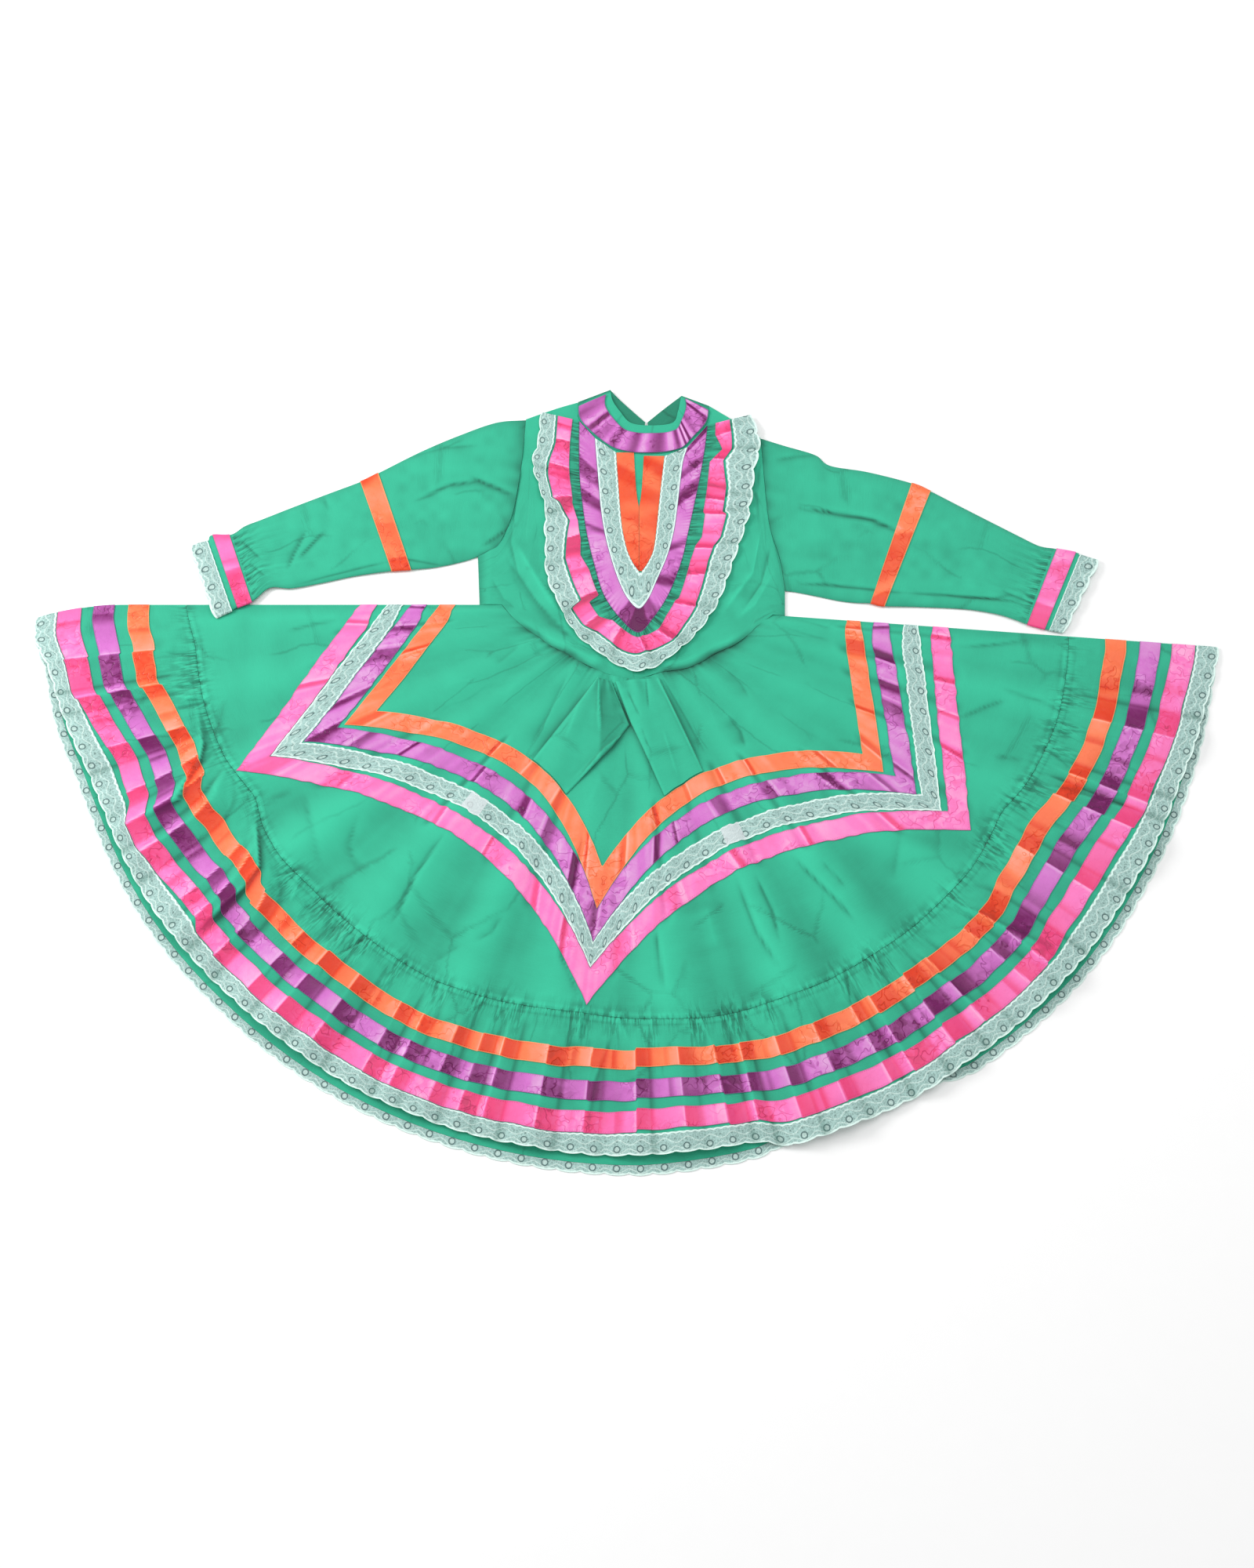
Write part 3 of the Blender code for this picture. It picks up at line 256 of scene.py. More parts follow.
BAND_SECTIONS = {
    # trim: first and last section on the left sleeve, the same on the right sleeve
    "armband": ((4, 5), (5, 6)), "cuff_ribbon": ((10, 11), (11, 12)), "cuff_lace": ((12, 13), (13, 14)),
}
BAND_SHADE_BLOCKS = {
    # trim: first and last share of the way down the sleeve and depth of its painted shade blocks, where the
    # satin turns from the light
    "armband_left": ((-0.2, 0.10, 0.36), (0.50, 0.80, 0.12), (0.87, 1.3, 0.40)),
    "armband_right": ((0.40, 0.84, 0.38), (0.90, 1.3, 0.36)),
    "cuff_ribbon_left": ((-0.2, 0.10, 0.34), (0.36, 0.42, 0.30), (0.50, 1.3, 0.34)),
    "cuff_ribbon_right": ((0.20, 0.40, 0.18), (0.62, 0.66, 0.30), (0.72, 1.3, 0.40)),
}
SLEEVE_CREASES = [
    # half width, height, then x and y of each point along it
    (6, -1.3, -317, 205, -244, 228, -187, 233), (5, -2, -211, 187, -146, 156),
    (4.5, -1.7, -283, 144, -235, 172, -186, 180), (5, -1.8, -193, 81, -160, 105, -146, 120),
    (4.5, -2.2, -315, 60, -280, 63, -240, 56, -209, 56), (4, -1.8, -426, 62, -408, 85, -388, 109),
    (5, -1.6, -413, 112, -430, 70, -438, 43), (4.5, -2.4, -432, 25, -384, 40, -341, 52, -300, 62),
    (5, -1.2, -405, 168, -385, 131), (4, -1.5, -500, 92, -468, 60), (4, -1.5, -490, 60, -460, 36),
    (6, -1.6, 187, 210, 220, 216, 258, 219), (4, -2.4, 211, 138, 257, 133, 313, 121, 342, 106, 367, 101),
    (4.5, -2.4, 205, 40, 219, 29, 253, 28, 316, 20, 363, 14), (4.5, -2.4, 345, 16, 419, 12, 463, 8, 496, 16),
    (4, -1.5, 400, 12, 460, 8, 500, 2), (4, -1.6, 470, 22, 505, 2),
]

COLLAR_FRONT_TOP = [
    # x and y of the top edge above each neck point of the bodice front
    (-25, 317), (-22, 300), (-12, 283), (2, 266), (29, 262), (57, 266), (64, 283), (67, 298), (69, 308),
]
COLLAR_BACK = [
    # neck seam x and y, top edge x and y, from the centre back to the left fold, then the right half
    (17, 240, 21, 268), (-14, 262, 7, 282), (-44, 283, -13, 303),
    (82, 279, 58, 299), (55, 258, 40, 283), (28, 240, 24, 268),
]
COLLAR_BACK_Z, COLLAR_FOLD_Z, COLLAR_SEAM_Z, COLLAR_TOP_Z = 1.9, 3.0, 3.3, 4.2
COLLAR_RIBBON = (0.02, 0.70, 0.86)      # its inner and outer edge up the collar, the outer edge at both ends
COLLAR_GATHERS = 11.0                   # waves of its ribbon

BIB = [
    # x and y of the insert's outer edge, then of the lace's, the purple ribbon's and the ruffle's
    (-17, 221, -45, 243, -66, 269, -122, 284), (-16, 200, -43, 215, -66, 232, -124, 240),
    (-14, 170, -40, 178, -65, 188, -128, 202), (-12, 140, -37, 140, -61, 146, -107, 150),
    (-9, 108, -32, 104, -55, 102, -112, 98), (-3, 78, -24, 68, -46, 60, -106, 42),
    (4, 60, -13, 32, -33, 14, -88, -6), (10, 50, -2, 8, -12, -20, -52, -58),
    (14, 45, 12, -6, 11, -40, 12, -96), (18, 50, 24, 8, 30, -20, 74, -54), (24, 60, 34, 32, 50, 14, 111, -4),
    (31, 78, 48, 68, 67, 62, 134, 60), (35, 108, 57, 104, 76, 104, 148, 104),
    (38, 140, 62, 140, 85, 148, 159, 148), (41, 170, 66, 176, 93, 190, 165, 194),
    (44, 198, 70, 208, 99, 228, 175, 232), (46, 216, 76, 229, 103, 262, 166, 280),
]
BIB_POINT = 8
INSERT_BLUNT = 0.6
SLIT_FRONT = [
    # row of the table above, half the opening between the two orange lengths
    (0, 6.5), (1, 5.6), (2, 4.0), (2.6, 2.2), (3, 0.2),
]
SLIT_FRONT_X = 12.5
BIB_FOLDS = [
    # row at the crest of a pleat, row at its foot, height
    (0.9, 1.2, 1.5), (1.85, 2.0, 3.0), (2.9, 3.3, 4.0), (4.1, 4.7, 2.6), (5.9, 6.15, 4.0), (6.6, 6.85, 3.0),
    (7.3, 7.45, 2.5), (8.15, 8.32, 3.0), (8.8, 8.97, 3.5), (9.8, 9.93, 3.0), (10.62, 10.78, 2.2),
    (11.4, 11.58, 3.0), (12.55, 12.68, 2.5), (13.05, 13.2, 3.0), (14.5, 14.9, 3.4), (15.5, 15.8, 2.0),
]
BIB_TRIMS = [
    # row, inner and outer edge of the pink ribbon and outer edge of the lace, as shares of the ruffle's width
    (0.0, 0.15, 0.50, 0.92), (1.0, 0.20, 0.52, 0.94), (2.0, 0.20, 0.64, 0.98), (2.5, 0.22, 0.74, 1.05),
    (2.95, 0.26, 0.82, 1.16), (3.05, 0.28, 0.64, 1.10), (3.6, 0.16, 0.36, 1.00), (4.2, 0.15, 0.46, 0.94),
    (4.7, 0.22, 0.54, 1.00), (5.2, 0.12, 0.52, 1.02), (6.0, 0.10, 0.50, 1.0), (6.1, 0.36, 0.76, 1.02),
    (6.6, 0.36, 0.76, 1.04), (6.9, 0.16, 0.60, 1.02), (7.6, 0.12, 0.58, 1.0), (8.16, 0.12, 0.52, 1.0),
    (8.2, 0.10, 0.50, 1.0), (8.8, 0.28, 0.72, 1.03), (9.3, 0.20, 0.64, 1.0), (9.85, 0.18, 0.62, 1.0),
    (9.95, 0.22, 0.58, 1.0), (11.0, 0.16, 0.50, 1.0), (11.5, 0.18, 0.52, 1.0), (11.8, 0.26, 0.60, 1.0),
    (12.55, 0.22, 0.60, 1.02), (12.65, 0.18, 0.52, 1.0), (13.5, 0.16, 0.50, 1.0), (14.4, 0.12, 0.36, 0.98),
    (14.9, 0.30, 0.46, 0.96), (15.5, 0.16, 0.46, 0.96), (16.0, 0.16, 0.46, 0.94),
]
BIB_DARK_PURPLE = [
    # first and last row where the purple ribbon turns away from the light
    (1.4, 2.3), (2.5, 3.2), (3.7, 4.1), (6.9, 9.4), (7.5, 8.7), (10.0, 10.6), (11.3, 11.8), (13.1, 13.9),
    (14.2, 14.8), (15.5, 16.2),
]
BIB_CLOTH_PAST_PINK = 0.22      # how far the ruffle's cloth reaches under the lace, as a share of its width
TIES = {
    # corners down the left side, corners down the right side
    "tie_left": ([(-40, -104), (-123, -219)], [(-22, -109), (0, -167), (-21, -198), (-78, -261)]),
    "tie_right": ([(-18, -109), (2, -165), (43, -264)], [(37, -104), (92, -233)]),
}
TIE_CREASES = {
    # half width, height, then x and y of each point along it
    "tie_left": [
        (4, 3.0, -38, -92, -38, -140, -36, -182), (4, 2.4, -66, -247, -30, -200, 4, -170),
        (7, -1.2, -60, -110, -100, -185), (5, -1.5, -24, -110, -8, -150), (9, 1.0, -80, -190, -60, -130),
    ],
    "tie_right": [
        (4, 2.4, 30, -94, 60, -160, 92, -236), (5, -1.8, -4, -118, 14, -160), (4, -1.4, 20, -98, 24, -150),
        (5, -1.2, 14, -170, 24, -200), (9, 1.2, 40, -170, 60, -240),
    ],
}

SLEEVE_STEPS = 12        # rings a section
SLEEVE_ACROSS = 78       # points across the upper layer
ACROSS_SLEEVE = (1.0 - np.cos(np.linspace(0.0, np.pi, SLEEVE_ACROSS))) / 2
UNDERSIDE = slice(-2, 0, -3)    # the points among them that the lower layer has, from its far end back

SUFFIX = {"green": "_cloth", "lace": "_net", "orange": "_satin", "purple": "_satin", "pink": "_satin"}
SATIN_EDGES = {
    # ribbon: colour of its woven edge, how strongly its crumples are painted in light and shade
    "orange": ((232, 166, 104), 0.55), "purple": ((118, 84, 132), 0.8), "pink": ((176, 92, 134), 0.75),
}

FLOOR_SIDE, FLOOR_Z = 6.0, -0.0006      # half its side and its height, in metres
CAMERA_ELEVATION = 68.0
CAMERA_AIM = (-0.0030, -0.2444)         # what the camera looks at on the floor, in metres
CAMERA_LENS = 48.67


def smoothstep(value):
    """0 below 0, 1 above 1, and 3t squared minus 2t cubed between."""
    t = np.clip(value, 0.0, 1.0)
    return t * t * (3.0 - 2.0 * t)


def hump(value, width):
    """1 at 0, falling off on both sides as e to the minus square of value by width."""
    return np.exp(-(value / width) ** 2)


def window(value, first, last, rise, drop):
    """1 between two values and 0 outside them, with smooth flanks of the given widths inside them."""
    return smoothstep((value - first) / rise) * smoothstep((last - value) / drop)


def shares(count):
    """Even shares from 0 to 1 as a column."""
    return np.linspace(0.0, 1.0, count)[:, None]


def notch(turn, power=0.6):
    """1 between two scallops, at each whole turn, and 0 at the middle of a scallop."""
    return 1.0 - np.abs(np.sin(np.pi * turn)) ** power


def polar(angle, radius):
    """x and y of points round the origin."""
    turn = np.radians(angle)
    return np.stack(np.broadcast_arrays(radius * np.cos(turn), radius * np.sin(turn)), axis=-1)


def angle_of(x, y):
    """Degrees round the origin, from 0 to 360."""
    return np.degrees(np.arctan2(y, x)) % 360.0


def soft_table(rows, column=1, reach=1.2):
    """A table of angles made smooth: its straight spans, every quarter degree, under a running bell curve."""
    rows = np.array(rows, dtype=float)
    at = np.arange(rows[0, 0], rows[-1, 0] + 0.25, 0.25)
    value = np.interp(at, rows[:, 0], rows[:, column])
    bell = hump(np.arange(-12, 13) * 0.25, reach)
    padded = np.concatenate([2 * value[0] - value[12:0:-1], value, 2 * value[-1] - value[-2:-14:-1]])
    smooth = np.convolve(padded, bell / bell.sum(), mode="valid")
    return lambda angle: np.interp(angle, at, smooth)


def curve(points, steps, corners=()):
    """Catmull-Rom curve through rows of points, steps samples a span; it may turn sharply at the given rows.

    Each span is the cubic whose end tangents are half the chords between its neighbours.
    """
    p = np.asarray(points, dtype=float)
    before = np.concatenate([[2 * p[0] - p[1]], p[:-2]])
    after = np.concatenate([p[2:], [2 * p[-1] - p[-2]]])
    for k in corners:
        after[k - 1] = 2 * p[k] - p[k - 1]
        before[k] = 2 * p[k] - p[k + 1]
    shape = (len(p) - 1, steps) + (1,) * (p.ndim - 1)
    t = np.broadcast_to(np.arange(steps).reshape((1, steps) + (1,) * (p.ndim - 1)) / steps, shape)
    p0, p1, p2, p3 = (q[:, None] for q in (before, p[:-1], p[1:], after))
    spans = 0.5 * (2 * p1 + (p2 - p0) * t + (2 * p0 - 5 * p1 + 4 * p2 - p3) * t ** 2
                   + (3 * p1 - p0 - 3 * p2 + p3) * t ** 3)
    return np.concatenate([spans.reshape((-1,) + p.shape[1:]), p[-1:]])


def running_length(line):
    """Length along a line of points, in millimetres."""
    return np.concatenate([[0.0], np.cumsum(np.linalg.norm(np.diff(line, axis=0), axis=1))])


def along_chain(corners, share):
    """Points at the given shares of a chain of straight lines."""
    chain = np.array(corners, dtype=float)
    far = running_length(chain)
    return np.stack([np.interp(share * far[-1], far, chain[:, k]) for k in (0, 1)], axis=-1)


def fold_lines(folds, first, last):
    """The crests and feet of folds in order between two ends, with the folds' heights there."""
    at = [first, *(place for crest, foot, _ in folds for place in (crest, foot)), last]
    height = [0.0, *(value for _, _, rise in folds for value in (rise, 0.0)), 0.0]
    return np.array(at), np.array(height)


def ripple(seed, at, length):
    """Smooth random wave between -1 and 1: random values a length apart, joined by smooth steps."""
    table = np.random.default_rng(seed).uniform(-1.0, 1.0, 4096)
    step = np.floor(at / length).astype(int)
    t = smoothstep(at / length - step)
    return table[step % 4096] * (1.0 - t) + table[(step + 1) % 4096] * t


def mottle(seed, x, y, size):
    """Smooth random field between -1 and 1: random values on a square lattice, joined by smooth steps."""
    table = np.random.default_rng(seed).uniform(-1.0, 1.0, 8192)
    i, j = np.floor(x / size).astype(int), np.floor(y / size).astype(int)
    s, t = smoothstep(x / size - i), smoothstep(y / size - j)

    def at(a, b):
        return table[(a * 91 + b * 1723) % 8192]

    low = at(i, j) * (1 - s) + at(i + 1, j) * s
    high = at(i, j + 1) * (1 - s) + at(i + 1, j + 1) * s
    return low * (1 - t) + high * t


def creases(table, x, y, bell=0.30):
    """Sum of soft ridges and troughs along chains of points.

    Each is its height times e to the minus distance, which makes a crisp line, and a broad shallow bell under
    it. The line falls off fast on one flank and slowly on the other and fades out at both ends. A short one
    is weaker. Without the bell it is a line alone, as tones need it.
    """
    total = np.zeros(x.shape)
    for width, height, *points in table:
        path = np.array(points, dtype=float).reshape(-1, 2)
        low, high = path.min(0) - 6 * width, path.max(0) + 6 * width
        near = (x > low[0]) & (x < high[0]) & (y > low[1]) & (y < high[1])
        if not near.any():
            continue
        px, py = x[near], y[near]
        nearest = np.full(px.shape, np.inf)
        side, along = np.zeros(px.shape), np.zeros(px.shape)
        steps = np.diff(path, axis=0)
        lengths = np.hypot(*steps.T)
        for (sx, sy), (ax, ay), length, passed in zip(path, steps, lengths, np.cumsum(lengths) - lengths):
            t = np.clip(((px - sx) * ax + (py - sy) * ay) / length ** 2, 0.0, 1.0)
            dx, dy = px - sx - t * ax, py - sy - t * ay
            closer = dx * dx + dy * dy < nearest
            nearest = np.where(closer, dx * dx + dy * dy, nearest)
            side = np.where(closer, np.sign(ax * dy - ay * dx), side)
            along = np.where(closer, passed + t * length, along)
        off = side * np.sqrt(nearest) / width
        ends = np.minimum(along, lengths.sum() - along) / (0.30 * lengths.sum())
        line = 0.75 * np.exp(-np.where(off > 0.0, 3.0, 1.2) * np.abs(off))
        line = line + bell * hump(off + 0.8, 2.4)
        total[near] += height * min(1.0, lengths.sum() / 55.0) * line * smoothstep(ends)
    return total


def soften(grid, reach):
    """Running mean over reach points on both sides, along the rows and then along the columns."""
    for axis in (0, 1):
        pad = [(reach + 1, reach) if axis == k else (0, 0) for k in (0, 1)]
        total = np.cumsum(np.pad(grid, pad, mode="edge"), axis=axis)
        size = total.shape[axis]
        window = 2 * reach + 1
        grid = (total.take(range(window, size), axis) - total.take(range(size - window), axis)) / window
    return grid


def shading(lift, reach=6, depth=0.10, fine=0.12):
    """Painted shade and highlight of cloth: tone 0.7 where it is even, less in a hollow and more on a ridge.

    It compares the height with its mean over a wide and over a narrow surrounding.
    """
    wide, narrow = lift - soften(lift, reach), lift - soften(lift, 2)
    return np.clip(0.7 + depth * wide + fine * np.clip(narrow, -2.0, 1.0), 0.0, 1.0)


waist_at = soft_table(WAIST)
seam_at = soft_table(SEAM, reach=1.0)
hem_at = soft_table(HEM, reach=0.8)
hem_inset_at = soft_table(HEM, 2, 0.8)
drift_at = soft_table(BAND_DRIFT, reach=0.3)
lean_at = soft_table(FOLD_LEANS, reach=1.0)
FOLD_LINES = fold_lines(FOLDS, FAN_START, FAN_END)


def side_fade(angle, reach=3.0):
    """0 at the fan's two side edges and 1 inside them."""
    return window(angle, FAN_START, FAN_END, reach, reach)


def fan_share(angle):
    """0 to 1 across the fan, from the left side to the right."""
    return (angle - FAN_START) / (FAN_END - FAN_START)


def seam_wave(angle):
    """The gathers' wave along the ruffle's seam, 0 to 1, uneven in pitch and in strength."""
    turn = SEAM_GATHERS * fan_share(angle)
    phase = turn + 0.6 * ripple(3, turn, 2.1) + 1.6 * ripple(15, turn, 9.0)
    wave = (0.5 + 0.5 * np.sin(2 * np.pi * phase)) ** 1.8
    return wave * np.clip(0.5 + 0.8 * ripple(4, turn, 1.3), 0.04, 1.0)


def gather_strength(angle):
    """1 inside the groups of deep gathers and LOOSE_GATHER between them."""
    strength = np.full(np.shape(angle), LOOSE_GATHER)
    for first, last in GATHER_GROUPS:
        strength = np.maximum(strength, window(angle, first - 0.3, last + 0.3, 0.6, 0.6))
    return strength


def seam_gather(angle, distance, reach):
    """How strongly the small wrinkles show at a distance from the ruffle's seam, uneven along it."""
    strength = gather_strength(angle)
    off = np.abs(distance + 2.5 * ripple(25, angle * 5.0, 4.0))
    uneven = 0.8 + 0.35 * ripple(24, angle * 5.0, 3.0)
    return uneven * (0.8 + 0.4 * strength) * np.exp(-off / (6.0 + reach * strength))


def seam_wrinkles():
    """Short wrinkles across the ruffle's seam, longer and deeper inside the groups of gathers."""
    chance = np.random.default_rng(17)
    rows, angle = [], FAN_START + 0.8
    while angle < FAN_END - 0.8:
        strength = float(gather_strength(angle))
        out, back = chance.uniform(9, 20) + strength * chance.uniform(8, 30), chance.uniform(7, 16)
        lean = chance.uniform(-0.9, 0.9) * out / 20.0
        radii = seam_at(angle) + np.array([-back, 1.0, out])
        height = chance.choice([-1.1, 1.0]) * (0.5 + 1.5 * strength) * chance.uniform(0.5, 1.0)
        chain = polar(angle + np.array([-0.4 * lean, 0.0, lean]), radii)
        rows.append((chance.uniform(2.6, 4.6), height, *chain.ravel()))
        angle += chance.uniform(0.6, 1.7) / (0.7 + 0.8 * strength)
    return rows


SEAM_WRINKLES = seam_wrinkles()


def seam_groove(distance):
    """The ruffle's seam: a stitched line with a puckered rib beside it, by the distance from the seam."""
    return 0.8 * hump(distance - 4.0, 1.8) - 0.8 * hump(distance - 1.0, 1.3) - 0.7 * hump(distance - 7.5, 1.6)


def waist_hang(angle):
    """1 at both flanks of the waist seam, where the bodice hangs over the skirt, and 0 elsewhere."""
    hang = window(angle, 184.0, 252.0, 16.0, 12.0) + window(angle, 288.0, 352.0, 12.0, 16.0)
    return np.where(angle < 178.0, 0.0, hang)


def waist_shadow(xy):
    """Tone that the cloth loses close to the waist seam where the bodice hangs over the skirt."""
    angle = angle_of(xy[..., 0], xy[..., 1])
    from_waist = np.hypot(xy[..., 0], xy[..., 1]) - waist_at(np.clip(angle, FAN_START, FAN_END))
    reach = np.where(from_waist > 0.0, 13.0, 8.0) * (1.0 + 0.4 * ripple(16, angle, 7.0))
    deep = 0.06 + (0.38 + 0.24 * ripple(18, angle, 5.0)) * waist_hang(angle)
    return deep * np.exp(-np.abs(from_waist) / reach)


def tie_shadows():
    """Dark lines on the skirt along the sash tails' sides, soft on their outer flank."""
    sides = [np.array(side, dtype=float) for left, right in TIES.values() for side in (left, right[::-1])]
    return [(5.0, -0.65, *side.ravel()) for side in sides]


def star_crease(angle, radius):
    """Depth of the creases that run outward through the zigzag and end a little way outside it."""
    depth = np.zeros(np.shape(angle))
    for centre, half, deep in STAR_FOLDS:
        off = (angle - centre) / half
        depth = depth + deep * hump(off, 1.0) * (1.0 - 0.6 * off)
    inside = np.clip(angle, FAN_START, FAN_END)
    inner, outer = star_edge(inside, STAR[0][2]) - 30.0, star_edge(inside, STAR[-1][2])
    return depth * window(radius, inner - 12.0, outer + 14.0, 20.0, 22.0)


def skirt_lift(x, y):
    """Height of the skirt front above its resting level.

    Flutes that grow with the radius, an even loft, gathers below the waist, puckers above the ruffle's seam,
    the listed creases and a faint swell; nowhere below 0.
    """
    angle, radius = angle_of(x, y), np.hypot(x, y)
    out = np.maximum(radius - waist_at(angle), 0.0)
    to_seam = seam_at(angle) - radius
    flutes = np.zeros(x.shape)
    for centre, half, rise in FLUTES:
        flutes += rise * smoothstep(1.0 - np.abs(angle - centre) / half)
    turn = WAIST_GATHERS * fan_share(angle)
    waves = np.sin(2 * np.pi * (turn + 0.6 * ripple(5, turn, 2.3)))
    waves = waves * np.clip(0.5 + 0.7 * ripple(6, turn, 1.3), 0.0, 1.0)
    waves = waves * (1.0 - 0.85 * window(angle, 244.0, 292.0, 8.0, 8.0))
    gathers = 0.6 * waves * np.exp(-out / (16.0 + 10.0 * ripple(7, turn, 1.0)))
    gathers = gathers - (0.5 + 1.2 * waist_hang(angle)) * np.exp(-out / 8.0)
    puckers = 1.1 * (seam_wave(angle) - 0.3) * (0.4 + gather_strength(angle)) * np.exp(-np.abs(to_seam) / 4.0)
    puckers = puckers + 0.45 * seam_groove(to_seam) + creases(SEAM_WRINKLES, x, y)
    swell = 0.60 * mottle(8, x, y, 70.0) + 0.22 * mottle(9, x, y, 27.0)
    creased = creases(SKIRT_CREASES, x, y) - star_crease(angle, radius)
    loft = side_fade(angle) * (SKIRT_LOFT + gathers + puckers + swell + creased)
    return np.maximum(0.85 * flutes * radius / seam_at(angle) + loft, 0.0)


def fold_angle(angle, share):
    """The angle that a fold seen at this place has at the hem: folds lean more and more towards the seam."""
    return angle + lean_at(angle) * (0.25 * (1.0 - share) + 0.75 * (1.0 - share) ** 5)


def ruffle_radius(angle, share):
    """Radius at a share of the front ruffle's depth, from the seam to its lace edge."""
    edge = hem_at(angle) - hem_inset_at(angle)
    seam = seam_at(angle) + SEAM_GAP / 2
    return seam + share * (edge - seam)


def ruffle_lift(angle, share):
    """Height of the front ruffle: the skirt's flutes, pressed folds that grow from the seam, and gathers."""
    radius = ruffle_radius(angle, share)
    xy = polar(angle, radius)
    seen = fold_angle(angle, share)
    rise = np.interp(seen, *FOLD_LINES) * smoothstep(share / 0.3) * (0.55 + 0.45 * share)
    rise = rise + creases(FLAP_EDGES, xy[..., 0], xy[..., 1])
    depth = np.maximum(radius - seam_at(angle), 0.0)
    small = 0.35 * mottle(12, seen * 12.0, radius, 17.0)
    small = small + 0.5 * mottle(20, seen * 11.0, radius, 9.0) * np.exp(-depth / 30.0)
    small = side_fade(angle) * (small + 0.45 * seam_groove(depth))
    return np.maximum(skirt_lift(xy[..., 0], xy[..., 1]) + rise + small, 0.0)


def flap_chains():
    """The flaps' edges in plan, and the shadows that lie to the right of them."""
    edges, lines = [], []
    for width, height, *points in FLAPS:
        at = np.array(points, dtype=float).reshape(-1, 2)
        edges.append((width, height, *polar(at[:, 0], ruffle_radius(at[:, 0], at[:, 1])).ravel()))
        shadow = polar(at[:, 0] + 0.32, ruffle_radius(at[:, 0], at[:, 1]))
        lines.append((4.0, -0.27 * height, *shadow[::-1].ravel()))
    return edges, lines


FLAP_EDGES, FLAP_SHADOW_LINES = flap_chains()


def band_jog(angle, share):
    """Sideways step of the trims at each pressed fold, as a share of the ruffle's depth."""
    crests = np.array([row[0] for row in FOLDS])
    steps = np.random.default_rng(19).uniform(-0.012, 0.012, len(crests) + 1)
    return steps[np.searchsorted(crests, fold_angle(angle, share))]


def sag(points):
    """Lowers the left hem corner: the drop grows with the square of the distance past a radius."""
    radius, angle = np.hypot(points[..., 0], points[..., 1]), angle_of(points[..., 0], points[..., 1])
    start = CORNER_SAG["from_radius"]
    reach = np.clip((radius - start) / (HEM[0][1] - start), 0.0, 1.2)
    fade = np.clip(1.0 - (angle - FAN_START) / CORNER_SAG["fade_angle"], 0.0, 1.0) * (angle >= 170.0)
    moved = points.copy()
    moved[..., 1] -= CORNER_SAG["drop"] * reach ** 2 * fade
    return moved


def with_height(xy, z):
    """Points from plan positions and heights."""
    return np.concatenate([xy, np.broadcast_to(z, xy.shape[:-1])[..., None]], axis=-1)


def raised(grid, height):
    """The same grid, moved straight up."""
    return grid + np.array([0.0, 0.0, height])


def chart_of(grid):
    """UV map in millimetres: running length across the middle row, and down the middle column."""
    u, v = running_length(grid[len(grid) // 2]), running_length(grid[:, grid.shape[1] // 2])
    return np.stack(np.meshgrid(u, v), axis=-1)


def pitch_of(kind):
    """How many millimetres along a trim make one unit of its UV map."""
    return LACE_PITCH if kind == "lace" else RIBBON_WIDTH


def trim_chart(grid, kind):
    """UV map of a trim: running length in pitches along it, and 0 to 1 from its inner to its outer edge."""
    chart = chart_of(grid)
    chart[..., 0] /= pitch_of(kind)
    chart[..., 1] = shares(len(grid))
    return chart


def quads(index):
    """Four corners of each cell of a grid of numbers."""
    return np.stack([index[:-1, :-1], index[:-1, 1:], index[1:, 1:], index[1:, :-1]], axis=-1).reshape(-1, 4)


def rims(index, wrap):
    """The edges of a grid as closed chains of numbers: all the way round, or the two ends of a ring."""
    if wrap:
        return [index[0], index[-1, ::-1]]
    return [np.concatenate([index[0], index[1:, -1], index[-1, -2::-1], index[-2::-1, 0]])]


